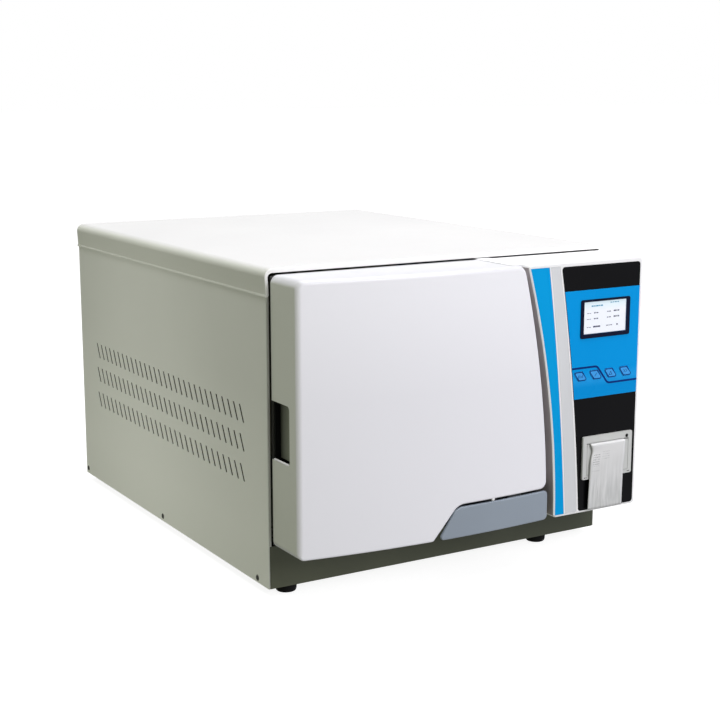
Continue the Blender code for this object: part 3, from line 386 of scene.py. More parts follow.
def light_screen():
    """Let the display give its own light, in its own tone."""
    tree = MATERIALS["lit_screen"].node_tree
    shader = tree.nodes["Principled BSDF"]
    tree.links.new(shader.inputs["Base Color"].links[0].from_socket,
                   shader.inputs["Emission Color"])
    shader.inputs["Emission Strength"].default_value = 0.2


light_screen()


# ---------------------------------------------------------------- outlines

def rounded(corners, arc_points=6):
    """Closed outline through corners (a, b, radius), each rounded by its radius."""
    points = []
    for i, (a, b, radius) in enumerate(corners):
        here = Vector((a, b))
        if radius == 0:
            points.append(here)
            continue
        back = (Vector(corners[i - 1][:2]) - here).normalized()
        ahead = (Vector(corners[(i + 1) % len(corners)][:2]) - here).normalized()
        half = back.angle(ahead) / 2
        centre = here + (back + ahead).normalized() * (radius / math.sin(half))
        start = here + back * (radius / math.tan(half)) - centre
        end = here + ahead * (radius / math.tan(half)) - centre
        for step in range(arc_points):
            points.append(centre + start.lerp(end, step / (arc_points - 1)).normalized() * radius)
    return points


def rectangle(low_a, high_a, low_b, high_b, radius=0.0, arc_points=5):
    return rounded([(low_a, low_b, radius), (high_a, low_b, radius),
                    (high_a, high_b, radius), (low_a, high_b, radius)], arc_points)


def framed(box, margin=0.0, radius=0.0, axes="xz", arc_points=5):
    """Rectangle round a box seen along its third axis, with a margin inside its edges."""
    low, high = ([getattr(corner, axis) for axis in axes] for corner in box)
    return rectangle(low[0] + margin, high[0] - margin, low[1] + margin, high[1] - margin,
                     radius, arc_points)


def circle(a, b, radius, sides=24):
    return [Vector((a + radius * math.cos(math.tau * i / sides),
                    b + radius * math.sin(math.tau * i / sides))) for i in range(sides)]


def dense(points, spacing):
    """Closed outline with extra points on its longer sides."""
    found = []
    for here, after in zip(points, points[1:] + points[:1]):
        count = max(1, round((after - here).length / spacing))
        found += [here.lerp(after, i / count) for i in range(count)]
    return found


def inward(points, closed=True):
    """Unit-offset vectors to the left of an anticlockwise outline, longer at sharp corners."""
    found = []
    last = len(points) - 1
    for i, here in enumerate(points):
        before = points[i - 1] if closed or i > 0 else here
        after = points[(i + 1) % len(points)] if closed or i < last else here
        one = (here - before).normalized()
        two = (after - here).normalized()
        one = one if one.length else two
        two = two if two.length else one
        normal = Vector((-(one.y + two.y), one.x + two.x)).normalized()
        found.append(normal / max(normal.dot(Vector((-one.y, one.x))), 0.5))
    return found


def band_outline(path, thickness):
    """Outline of a thin band along an open path."""
    path = [Vector(p) for p in path]
    across = inward(path, closed=False)
    left = [p + n * thickness / 2 for p, n in zip(path, across)]
    right = [p - n * thickness / 2 for p, n in zip(path, across)]
    return left + right[::-1]


def strip_outline(left, right, low, high, count=24, radius=0.0):
    """Outline in x and z between two edges that are functions of z."""
    inner = radius or (high - low) / (count + 1)
    corners = [(left(low), low, radius), (right(low), low, radius)]
    corners += [(right(z), z, 0) for z in steps(low + inner, high - inner, count)]
    corners += [(right(high), high, radius), (left(high), high, radius)]
    corners += [(left(z), z, 0) for z in steps(high - inner, low + inner, count)]
    return rounded(corners, 5)


# ---------------------------------------------------------------- building tools

def placed(name, data):
    """A new object for the data, linked into the scene."""
    obj = bpy.data.objects.new(name, data)
    bpy.context.scene.collection.objects.link(obj)
    return obj


def moved(work, matrix):
    """The same bmesh, moved by a matrix."""
    bmesh.ops.transform(work, matrix=matrix, verts=work.verts)
    return work


def mesh_of(work, name):
    """A mesh from a bmesh, which is used up."""
    mesh = bpy.data.meshes.new(name)
    work.to_mesh(mesh)
    work.free()
    return mesh


def bmesh_of(mesh):
    """A bmesh from a mesh, which is used up."""
    work = bmesh.new()
    work.from_mesh(mesh)
    bpy.data.meshes.remove(mesh)
    return work


def solved(obj):
    """The mesh of an object with its modifiers applied."""
    return bpy.data.meshes.new_from_object(
        obj.evaluated_get(bpy.context.evaluated_depsgraph_get()))


def piece(name, work, material, body="housing", stands_for=(), smooth=35,
          bevel=0.0, segments=2, bevel_angle=40):
    """Turn a bmesh in millimetres into a finished piece that rides on a body."""
    bmesh.ops.recalc_face_normals(work, faces=work.faces)
    mesh = mesh_of(work, name)
    mesh.transform(TO_ROW)
    obj = placed(name, mesh)
    for shown in [material] if isinstance(material, str) else material:
        mesh.materials.append(MATERIALS[shown])
    mesh.shade_smooth()
    mesh.set_sharp_from_angle(angle=math.radians(smooth))
    if bevel:
        edge = obj.modifiers.new("edge", "BEVEL")
        edge.width = bevel / 1000
        edge.segments = segments
        edge.limit_method = "ANGLE"
        edge.angle_limit = math.radians(bevel_angle)
        edge.harden_normals = True
    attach(obj, body)
    if stands_for:
        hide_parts(*stands_for)
    return obj


def flat_weighted(obj):
    """Keep wide flat faces flat in their shading beside rounded edges."""
    obj.modifiers.new("weigh", "WEIGHTED_NORMAL").keep_sharp = True


WELD = 1e-4                          # points this near each other become one
AXES = {"x": Matrix(((0, 0, 1), (1, 0, 0), (0, 1, 0))),
        "y": Matrix(((1, 0, 0), (0, 0, -1), (0, 1, 0))),
        "z": Matrix.Identity(3)}
TURNS = {"up": Matrix.Identity(4),
         "left": Matrix.Rotation(-math.pi / 2, 4, "Y"),
         "right": Matrix.Rotation(math.pi / 2, 4, "Y"),
         "front": Matrix.Rotation(math.pi / 2, 4, "X"),
         "rear": Matrix.Rotation(-math.pi / 2, 4, "X")}


def plate(outline, axis, low, high, holes=()):
    """Flat outline with holes, drawn out along an axis, as a bmesh."""
    curve = bpy.data.curves.new("plate", "CURVE")
    curve.dimensions = "2D"
    curve.fill_mode = "BOTH"
    curve.extrude = (high - low) / 2
    for loop in [outline, *holes]:
        spline = curve.splines.new("POLY")
        spline.points.add(len(loop) - 1)
        for point, (a, b) in zip(spline.points, loop):
            point.co = (a, b, 0, 1)
        spline.use_cyclic_u = True
    guide = placed("plate", curve)
    work = bmesh_of(solved(guide))
    bpy.data.objects.remove(guide)
    bmesh.ops.remove_doubles(work, verts=work.verts, dist=WELD)
    shift = Vector([(low + high) / 2 if letter == axis else 0 for letter in "xyz"])
    moved(work, Matrix.Translation(shift) @ AXES[axis].to_4x4())
    bmesh.ops.recalc_face_normals(work, faces=work.faces)
    return work


def block(low, high):
    return plate(rectangle(low[0], high[0], low[1], high[1]), "z", low[2], high[2])


def lathe(profile, centre, facing="front", sides=96):
    """Closed profile (radius, height) turned about an axis through centre, as a bmesh."""
    work = bmesh.new()
    verts = [work.verts.new((radius, 0, height)) for radius, height in profile]
    edges = [work.edges.new((a, b)) for a, b in zip(verts, verts[1:])]
    if profile[0][0] > 0:
        edges.append(work.edges.new((verts[-1], verts[0])))
    bmesh.ops.spin(work, geom=verts + edges, cent=(0, 0, 0), axis=(0, 0, 1),
                   angle=math.tau, steps=sides, use_merge=True)
    bmesh.ops.remove_doubles(work, verts=work.verts, dist=WELD)
    moved(work, Matrix.Translation(Vector(centre)) @ TURNS[facing])
    bmesh.ops.recalc_face_normals(work, faces=work.faces)
    return work


def merged(*works):
    """One bmesh from several, which are used up."""
    whole = bmesh.new()
    for work in works:
        mesh = mesh_of(work, "part")
        whole.from_mesh(mesh)
        bpy.data.meshes.remove(mesh)
    return whole


def carved(work, *tools, operation="DIFFERENCE"):
    """A bmesh cut by (or joined with) others, solved exactly."""
    target, *cutters = [placed("carving", mesh_of(part, "carving")) for part in (work, *tools)]
    for cutter in cutters:
        modifier = target.modifiers.new("carve", "BOOLEAN")
        modifier.operation = operation
        modifier.solver = "EXACT"
        modifier.object = cutter
    result = bmesh_of(solved(target))
    for obj in [target, *cutters]:
        bpy.data.objects.remove(obj)
    return result


def loft(rows, closed_rows=False, closed_columns=False):
    """Faces between successive rows of equally many points, as a bmesh."""
    work = bmesh.new()
    grid = [[work.verts.new(point) for point in row] for row in rows]
    wide = len(rows[0])
    for j in range(len(rows) if closed_rows else len(rows) - 1):
        one, two = grid[j], grid[(j + 1) % len(rows)]
        for i in range(wide if closed_columns else wide - 1):
            k = (i + 1) % wide
            work.faces.new((one[i], one[k], two[k], two[i]))
    return work, grid


def filled(work, outline, depth, spacing, flip=False):
    """Fill a closed outline in x and z with triangles whose y is depth(x, z)."""
    low = Vector((min(p.x for p in outline), min(p.y for p in outline)))
    high = Vector((max(p.x for p in outline), max(p.y for p in outline)))
    count = len(outline)
    points = list(outline)
    margin = spacing * 0.45
    for i in range(1, int((high.x - low.x) / spacing) + 1):
        for j in range(1, int((high.y - low.y) / spacing) + 1):
            spot = Vector((low.x + i * spacing, low.y + j * spacing))
            inside = False
            near = False
            for a, b in zip(outline, outline[1:] + outline[:1]):
                if (a.y > spot.y) != (b.y > spot.y):
                    if spot.x < a.x + (spot.y - a.y) / (b.y - a.y) * (b.x - a.x):
                        inside = not inside
                along = b - a
                t = max(0.0, min(1.0, (spot - a).dot(along) / along.length_squared))
                near = near or (spot - a - along * t).length < margin
            if inside and not near:
                points.append(spot)
    found, _, faces, *_ = delaunay_2d_cdt(points, [], [list(range(count))], 1, 1e-6)
    verts = [work.verts.new((p.x, depth(p.x, p.y), p.y)) for p in found]
    for face in faces:
        order = face[::-1] if flip else face
        work.faces.new([verts[i] for i in order])


def rounded_front(outline, front, back, radius, wall=None, spacing=14.0, arc=6):
    """Front-facing shell: a skin over an outline in x and z, rounded into its sides.

    front(x) and back(x) give y, and radius(x, z) the rounding at each outline point. With a
    wall the body is hollow and open at the back; without one it's closed there."""
    outline = dense(outline, spacing)
    normals = inward(outline)
    radii = [radius(p.x, p.y) for p in outline]

    def ring(insets, depths):
        spots = [p + n * inset for p, n, inset in zip(outline, normals, insets)]
        return [(spot.x, front(spot.x) + depth, spot.y) for spot, depth in zip(spots, depths)]

    rows = [[(p.x, back(p.x), p.y) for p in outline]]
    rows += [ring([r * (1 - math.cos(t)) for r in radii], [r * (1 - math.sin(t)) for r in radii])
             for t in steps(0, math.pi / 2, arc)]
    rows.append(ring([r + 1.2 for r in radii], [0] * len(radii)))
    face = [Vector((x, z)) for x, _, z in rows[-1]]
    if wall:
        inner = [[(p.x + n.x * wall, back(p.x), p.y + n.y * wall)
                  for p, n in zip(outline, normals)]]
        inner.append([(x, front(x) + wall + 1, z) for x, _, z in inner[0]])
        inner.append(ring([wall + 1] * len(outline), [wall] * len(outline)))
        rows = inner[::-1] + rows
    work, _ = loft(rows, closed_columns=True)
    filled(work, face, lambda x, z: front(x), spacing)
    if wall:
        floor = [Vector((x, z)) for x, _, z in rows[0]]
        filled(work, floor, lambda x, z: front(x) + wall, spacing * 2, flip=True)
    else:
        filled(work, outline, lambda x, z: back(x), spacing, flip=True)
    bmesh.ops.remove_doubles(work, verts=work.verts, dist=0.01)
    bmesh.ops.recalc_face_normals(work, faces=work.faces)
    return work


def tube(points, radius, sides=12):
    """Round bar along a smooth run of points, as a bmesh with closed ends."""
    points = [Vector(p) for p in points]
    rows = []
    side = None
    for i, here in enumerate(points):
        along = (points[min(i + 1, len(points) - 1)] - points[max(i - 1, 0)]).normalized()
        if side is None:
            side = along.orthogonal().normalized()
        side = (side - along * side.dot(along)).normalized()
        other = along.cross(side)
        rows.append([here + (side * math.cos(a) + other * math.sin(a)) * radius
                     for a in (math.tau * k / sides for k in range(sides))])
    work, grid = loft(rows, closed_columns=True)
    work.faces.new(grid[0][::-1])
    work.faces.new(grid[-1])
    return work


def screw_head(x, y, z, facing, radius=3.2, height=1.4):
    """Pan head with a cross recess; the facing names the axis it looks along."""
    profile = [(0, height), (radius * 0.55, height * 0.95), (radius * 0.85, height * 0.7),
               (radius, height * 0.25), (radius, 0), (0, 0)]
    head = lathe(profile, (0, 0, 0), "up", 20)
    for turn in (0, math.pi / 2):
        slot = block((-radius * 0.5, -radius * 0.11, height * 0.45),
                     (radius * 0.5, radius * 0.11, height + 1))
        bmesh.ops.rotate(slot, verts=slot.verts, cent=(0, 0, 0),
                         matrix=Matrix.Rotation(turn + 0.5, 3, "Z"))
        head = carved(head, slot)
    return moved(head, Matrix.Translation((x, y, z)) @ TURNS[facing])


def screws(name, spots, facing, radius, height, body="housing"):
    """One piece of screw heads at spots (x, y, z) that all face the same way."""
    heads = [screw_head(*spot, facing, radius, height) for spot in spots]
    piece(name, merged(*heads), "dark_screw", body)


# ---------------------------------------------------------------- casing

def top_cover():
    """Folded cover: arched top, lips that lean in and end in a small hem, front return."""
    left, right = COVER[0].x, COVER[1].x
    top, hem = COVER[1].z, COVER[0].z
    lean = 1.1
    half = [Vector((left, hem)), Vector((left, hem + 1.2)), Vector((left + 0.5, hem + 2.4)),
            Vector((left + lean, hem + 3.4)), Vector((left + 0.6, hem + 13)),
            Vector((left, top - 11))]
    arc = [Vector((left + 11 - 11 * math.cos(t), top - 11 + 11 * math.sin(t)))
           for t in steps(0, math.pi / 2, 12)[1:]]
    half += arc + [Vector((left + 20, top)), Vector((left + 120, top))]
    mirrored = [Vector((left + right - p.x, p.y)) for p in half[::-1]]
    arch = half + mirrored
    normals = inward(arch, closed=False)     # to the left of the run, so outward here

    def row(inset, y, squeeze=1.0):
        return [(p.x - n.x * inset * squeeze, y, p.y - n.y * inset)
                for p, n in zip(arch, normals)]

    front, rear = COVER[0].y, COVER[1].y
    soft = 1.6
    rows = [row(0, rear), row(0, front + soft + 3)]
    rows += [row(soft * (1 - math.cos(t)), front + soft * (1 - math.sin(t)))
             for t in steps(0, math.pi / 2, 6)]
    rows += [row(5.8, front, 0.75), row(5.8, front + 1.3, 0.75), row(1.2, front + 1.3),
             row(1.2, rear - 1.3), row(7.2, rear - 1.3), row(7.2, rear)]
    work, grid = loft(rows, closed_rows=True)
    work.faces.new([line[0] for line in grid])
    work.faces.new([line[-1] for line in grid][::-1])
    flat_weighted(piece("top_cover_shell", work, "cover_paint",
                        stands_for=["top_cover"], smooth=50))


LOUVRE_ROWS = ((121.0, 142.5), (159.5, 181.0), (196.0, 218.0))
LOUVRE_COUNT = 30
LOUVRE_FIRST, LOUVRE_LAST = 74.6, 565.8
LOUVRE_LEAN, LOUVRE_HALF = 10.5, 1.7


def louvre_slots(low_x, high_x):
    """Leaning round-ended slots in three rows, joined in one bmesh."""
    slots = []
    for low, high in LOUVRE_ROWS:
        for y in steps(LOUVRE_FIRST, LOUVRE_LAST, LOUVRE_COUNT):
            lean = LOUVRE_LEAN * (high - low) / 21.5
            outline = rounded([(y - lean - LOUVRE_HALF, low, 0.6),
                               (y - lean + LOUVRE_HALF, low, 0.9),
                               (y + LOUVRE_HALF, high, 0.6),
                               (y - LOUVRE_HALF, high, 0.9)], 3)
            slots.append(plate(outline, "x", low_x, high_x))
    return merged(*slots)


def side_panel(side):
    """Side sheet folded round its front edge, with cut louvres; the right one is mirrored."""
    low, high = PANEL
    sheet, fold, flange = 1.5, 2.0, 3.7
    shoulder = COVER[0].z - 0.3
    base_top = BASE[1].z
    outer = [Vector((0, high.y)), Vector((0, fold))]
    outer += [Vector((fold - fold * math.cos(t), fold - fold * math.sin(t)))
              for t in steps(0, math.pi / 2, 7)[1:]]
    outer.append(Vector((flange, 0)))
    plan = band_outline([p + n * sheet / 2 for p, n in zip(outer, inward(outer, False))], sheet)
    wall = plate(plan, "z", 0, shoulder)
    wall = carved(wall, block((sheet + 0.05, -5, -5), (flange + 5, sheet + 4, base_top + 0.3)),
                  louvre_slots(-2, 4))
    tongue = block((0, sheet + 0.3, shoulder - 0.01), (sheet, high.y, high.z))
    panel = merged(wall, tongue)
    panel.normal_update()
    # painted shade: the walls of the louvre slots take a near-black material
    for face in panel.faces:
        spot = face.calc_center_median()
        in_rows = LOUVRE_ROWS[0][0] - 1 < spot.z < LOUVRE_ROWS[-1][1] + 1 and spot.y > 50
        if in_rows and abs(face.normal.x) < 0.5:
            face.material_index = 1
    if side == "right":
        moved(panel, Matrix.Translation((low.x + CASING_RIGHT, 0, 0)) @
              Matrix.Scale(-1, 4, (1, 0, 0)))
        bmesh.ops.reverse_faces(panel, faces=panel.faces)
    piece(f"{side}_side_panel_sheet", panel, ["panel_paint", "slot_painted_shade"],
          stands_for=[f"{side}_side_panel"], smooth=30)


SIDE_SCREWS = ((624.0, 8.0), (327.0, 7.0), (31.5, 6.0))


def side_screws():
    """Panel screws along the foot of both side panels."""
    sunk = 0.4
    heads = [screw_head(x, y, z, facing, 4.0, 1.3)
             for x, facing in ((PANEL[0].x + sunk, "left"), (CASING_RIGHT - sunk, "right"))
             for y, z in SIDE_SCREWS]
    piece("side_screws", merged(*heads), "dark_screw", smooth=40)


FEET = ("foot_front_left", "foot_front_right", "foot_rear_left", "foot_rear_right")
FOOT_SPOTS = {name: sum(bounds_mm(name), Vector()).xy / 2 for name in FEET}
TRAY_SLOTS_X, TRAY_SLOTS_Y = (140, 250), (420, 480)


def base_tray():
    """Dark base tray with folded, softly rounded edges."""
    low, high = BASE
    outline, inner, seat = (framed(BASE, margin, radius, "xy")
                            for margin, radius in ((0, 1.6), (1.5, 0.4), (0.7, 1.0)))
    rim = plate(outline, "z", low.z, high.z, [inner])
    holes = [circle(*spot, 4, 16) for spot in FOOT_SPOTS.values()]
    holes += [rectangle(x, x + 4, *TRAY_SLOTS_Y, 1.9, 4) for x in steps(*TRAY_SLOTS_X, 10)]
    floor = plate(seat, "z", low.z + 0.2, low.z + 1.7, holes)
    piece("base_tray", carved(rim, floor, operation="UNION"), "base_paint",
          stands_for=["base_chassis"], smooth=30, bevel=0.4)


def foot(name):
    """Turned rubber foot with a screw in its hollow."""
    low, high = bounds_mm(name)
    radius = (high.x - low.x) / 2
    profile = [(4.5, high.z), (radius - 0.6, high.z), (radius, high.z - 0.6),
               (radius - 0.4, low.z + 3.2), (radius - 1.0, low.z + 1.2),
               (radius - 1.8, low.z + 0.3), (radius - 2.8, low.z),
               (7.0, low.z), (6.2, low.z + 0.6), (6.0, low.z + 4.5), (4.5, low.z + 4.6)]
    spot = FOOT_SPOTS[name]
    piece(name + "_rubber", lathe(profile, (*spot, 0), "up", 48), "rubber",
          stands_for=[name], smooth=50)
    screw = lathe([(0, low.z + 4.0), (3.6, low.z + 4.0), (4.2, low.z + 4.6), (4.2, low.z + 6.4),
                   (0, low.z + 6.4)], (*spot, 0), "up", 24)
    piece(name + "_screw", screw, "steel")


BOLT_COUNT, BOLT_RING = 12, 138.5


def bulkhead_details():
    """Bolts round the chamber flange and the frame's own screws."""
    bolts = []
    for i in range(BOLT_COUNT):
        turn = math.tau * (i + 0.5) / BOLT_COUNT
        spot = CHAMBER + Vector((math.cos(turn), 0, math.sin(turn))) * BOLT_RING
        bolts.append(lathe([(0, 1.9), (2.6, 1.9), (3.4, 1.2), (3.4, 0), (0, 0)],
                           (spot.x, -0.05, spot.z), "front", 6))
    piece("flange_bolts", merged(*bolts), "dark_screw")
    y = bounds_mm("front_frame")[0].y
    screws("bulkhead_screws", [(x, y, z) for x, z in ((16, 66), (16, 372), (340, 366), (340, 66))],
           "front", 3.4, 1.6)


# ---------------------------------------------------------------- chamber

def chamber():
    """Flange, bore and dished rear of the vessel."""
    low, high = bounds_mm("chamber_vessel")
    bore, wall, rim = 123.5, 2.5, (high.x - low.x) / 2
    depth, dish = 460.0, 36.0
    inside = [(0.0, -depth - dish)]
    inside += [(bore * math.sin(t), -depth - dish * math.cos(t)) for t in
               steps(0, math.pi / 2, 10)[1:]]
    outside = [((bore + wall) * math.cos(t), -depth - (dish + wall) * math.sin(t)) for t in
               steps(0, math.pi / 2, 10)[:-1]]
    profile = inside + [(bore, -1.2), (bore + 1.2, 0), (rim - 1.5, 0), (rim, -1.5), (rim, -10),
                        (bore + wall, -10)] + outside + [(0.0, -depth - dish - wall)]
    piece("chamber_shell", lathe(profile, CHAMBER, "front", 128), "polished_steel",
          stands_for=["chamber_vessel"], smooth=30)
    port = [(r, h - depth - dish) for r, h in ((0, 8), (9, 8), (11, 6), (11, 2.4), (0, 2.4))]
    ports = [lathe(port, CHAMBER + Vector((x, 0, z)), "front", 24)
             for x, z in ((60, 40), (-60, 40), (0, -62))]
    piece("chamber_ports", merged(*ports), "steel")


def perforated_tray(node):
    """Instrument tray with a rolled rim and a perforated floor."""
    box = bounds_mm(node)
    low, high = box
    holes = []
    for j, y in enumerate(steps(low.y + 15, high.y - 15, 31)):
        shift = 6.5 if j % 2 else 0.0
        holes += [circle(x, y, 2.6, 8)
                  for x in steps(low.x + 14 + shift, high.x - 20.5 + shift, 11)]
    outer = framed(box, 0.5, 5, "xy")
    floor = plate(outer, "z", low.z, low.z + 1.0, holes)
    wall = plate(outer, "z", low.z + 0.9, high.z - 0.8, [framed(box, 1.6, 4, "xy")])
    path = framed(box, 1.0, 5, "xy")
    rim = tube([(p.x, p.y, high.z - 0.9) for p in path + path[:2]], 0.9, 8)
    piece(node + "_pan", merged(floor, wall, rim), "steel", stands_for=[node])


def pressure_disc():
    """Dished disc that closes the chamber, and the seal in front of its flange."""
    low, high = bounds_mm("pressure_door")
    radius = (high.x - low.x) / 2
    back = -high.y
    profile = [(0, 26)]
    profile += [(r, 12 + 14 * math.cos(math.pi / 2 * r / 118) ** 1.2) for r in steps(12, 116, 12)]
    profile += [(122, 12), (radius - 1.5, 12), (radius, 10.5), (radius, back + 1.2),
                (radius - 1.2, back), (121, back), (112, 6), (60, 13), (0, 16)]
    piece("pressure_disc", lathe(profile, CHAMBER, "front", 128), "polished_steel", "door",
          ["pressure_door"], smooth=28)
    far, near = (-corner.y for corner in bounds_mm("door_gasket"))
    ring = [(126, near + 0.6), (126, far), (135, far), (135, near + 0.6), (134.3, near),
            (131.8, near), (131.2, near + 0.5), (130, near + 0.5), (129.4, near), (126.7, near)]
    piece("door_seal", lathe(ring, CHAMBER, "front", 128), "silicone", "door",
          ["door_gasket"], smooth=40)


# ---------------------------------------------------------------- door

def door_plan_outline():
    """Front view of the door: swept right edge and a cut-out over the drain flap."""
    left, low, top = DOOR[0].x, DOOR[0].z, DOOR[1].z
    edge = [(door_edge(z), z, 0) for z in steps(DOOR_SILL + 22, top - 18, 14)]
    corners = [(left, low, 9), (183, low, 5), (218.8, DOOR_SILL, 20),
               (door_edge(DOOR_SILL), DOOR_SILL, 10)]
    corners += edge + [(door_edge(top), top, 12), (left, top, 10)]
    return rounded(corners, 9)


def door_back(x):
    """y of the door's back edge: flat, then round its pivot on the hinge side."""
    if x <= HINGE.x:
        return DOOR[1].y
    return HINGE.y + math.sqrt(max(HINGE_REACH ** 2 - (x - HINGE.x) ** 2, 1.0))


def door_radius(x, z):
    """Rounding of the door's front edge: generous at its left and top, tight elsewhere."""
    left, low, top = DOOR[0].x, DOOR[0].z, DOOR[1].z
    at_left = 1 - ease(x, left, left + 12)
    above = ease(z, low, low + 9)
    at_top = ease(z, top - 12, top)
    return 2.4 + max(3.8 * at_left * above, 2.4 * at_top)


def door_shell():
    """Hollow white cover of the door with the finger recess cut in its left side."""
    work = rounded_front(door_plan_outline(), crown, door_back, door_radius, wall=3.0, arc=8)
    left = DOOR[0].x
    opening = plate(rectangle(RECESS_FRONT, 20, *RECESS_Z, 5, 6), "x", left - 8, left + 6)
    work = carved(work, opening)
    flat_weighted(piece("door_shell", work, "door_white", "door",
                        ["door_cover"], smooth=32))


def recess_shade_well():
    """Pocket behind the finger recess that hides the inside of the door, in near-black rubber as
    painted shade.
    """
    left = DOOR[0].x + 3.2
    outer = rectangle(left, left + 42, RECESS_FRONT - 4.5, -7.2, 3)
    inner = rectangle(left - 3, left + 40.5, RECESS_FRONT - 3, -8.7, 3)
    wall = plate(outer, "z", RECESS_Z[0] - 3, RECESS_Z[1] + 3)
    hollow = plate(inner, "z", RECESS_Z[0] - 1.6, RECESS_Z[1] + 1.6)
    # painted shade: a near-black strip over the liner's edge where it shows in the recess
    strip = block((left - 0.3, -7.0, RECESS_Z[0] - 3), (left + 3, DOOR[1].y, RECESS_Z[1] + 3))
    piece("recess_shade_well", merged(carved(wall, hollow), strip), "rubber", "door",
          smooth=30)
    edge, sill = DOOR[0].x, RECESS_Z[0]
    outline = [(edge, sill - 0.6), (edge + 3.0, sill - 0.6), (edge + 3.0, sill + 1.1),
               (edge + 0.3, sill - 0.4)]
    ledge = plate(outline, "y", RECESS_FRONT + 1.0, DOOR[1].y - 1.0)
    piece("recess_ledge", ledge, "column_white", "door", smooth=30)


def lever():
    """Curved paddle of the door lever, thickened and softly edged."""
    low, high = bounds_mm("handle_lever")
    path = [(11.5 + 3.0 * math.sin(t), -9.5 - 35 * math.cos(t))
            for t in steps(0, math.pi / 2, 18)]
    paddle = plate(band_outline(path, 2.5), "z", low.z, high.z)
    barrel = plate(circle(14.5, -45, 3.0, 24), "z", low.z, high.z)
    piece("door_lever", carved(paddle, barrel, operation="UNION"), "lever_plastic",
          "handle_lever", ["handle_lever"], bevel=0.6, segments=3)


def upper_hinge():
    """Hinge arm that lies on the door's top and holds its upper pin."""
    left, right, front, rear = 298.5, 320.5, -81.0, 12.0
    top, foot_z = DOOR[1].z + 0.8, 376.0
    arm = plate(rectangle(left, right, front, rear, 5), "z", top - 0.7, top)
    pin = lathe([(0, foot_z), (3.5, foot_z), (4.0, foot_z + 0.5), (4.0, top - 1.0),
                 (0, top - 1.0)], (*HINGE, 0), "up", 24)
    piece("upper_hinge_arm", merged(arm, pin), "white_gloss",
          stands_for=["upper_hinge_bracket"], bevel=0.3)


def flap_catch():
    """Small nub under the door's sill that holds the flap shut."""
    x = 272
    profile = [(0, 3.2), (1.6, 3.0), (2.4, 2.2), (2.6, 0), (0, 0)]
    nub = lathe(profile, (x, crown(x) + 3.2, DOOR_SILL - 0.4), "front", 20)
    piece("flap_catch", nub, "white_gloss", "door")


def liner_screws():
    y = -4.3
    spots = ((22, 70), (22, 368), (170, 68), (300, 368), (30, 238), (170, 372))
    screws("liner_screws", [(x, y, z) for x, z in spots], "rear", 3.0, 1.1, "door")


# ---------------------------------------------------------------- drain flap and valves

def flap():
    """Thin crowned skin of the drain flap."""
    right, low, high = FLAP[1].x, FLAP[0].z, FLAP[1].z + 1.2
    outline = rounded([(190.5, low, 4), (right, low, 6), (right, high, 6), (216.5, high, 16)], 8)
    work = rounded_front(outline, crown, lambda x: crown(x) + 3.0, lambda x, z: 1.6,
                         spacing=10, arc=5)
    flat_weighted(piece("drain_flap_skin", work, "flap_plastic", "drain_flap",
                        ["drain_flap"], smooth=32))


VALVES_Z = 73.0


def drain_valves():
    """Each drain valve's round knob with a grip bar, and the hose barb beside it."""
    z = VALVES_Z
    for label, node, slot in (("clean", "clean_drain_knob", "knob_blue"),
                              ("waste", "waste_drain_knob", "knob_red")):
        low, high = bounds_mm(node)
        x = (low.x + high.x) / 2
        body = lathe([(0, 38), (7.2, 38), (8.6, 37), (9, 35.5), (9, 26), (8.2, 25), (3.5, 25),
                      (3.5, -high.y), (0, -high.y)], (x, 0, z), "front", 48)
        outline = rectangle(x - 8.4, x + 8.4, z - 2.6, z + 2.6, 2.2)
        grip = plate(outline, "y", low.y, -37)
        piece(f"{label}_valve_knob", carved(body, grip, operation="UNION"), slot, node,
              [node], smooth=35, bevel=0.7, bevel_angle=50)
        barb = [(2.2, 44), (4.2, 38), (3.4, 38), (4.4, 33), (3.5, 33), (3.5, 24.4), (2.2, 24.4)]
        piece(f"{label}_drain_barb", lathe(barb, (x - 20, 0, z - 6), "front", 32), "brass")


# ---------------------------------------------------------------- control column

def column_outline():
    low, top, right = COLUMN[0].z, COLUMN[1].z, COLUMN[1].x
    edge = [(column_edge(z), z, 0) for z in steps(top - 9, low + 9, 20)]
    return rounded([(right, low, 5), (right, top, 6), (column_edge(top), top, 5)] + edge +
                   [(column_edge(low), low, 5)], 7)


def grown(edges, margin):
    """The left and right edge of a stripe as functions of z, moved apart by a margin."""
    return lambda z: edges(z)[0] - margin, lambda z: edges(z)[1] + margin


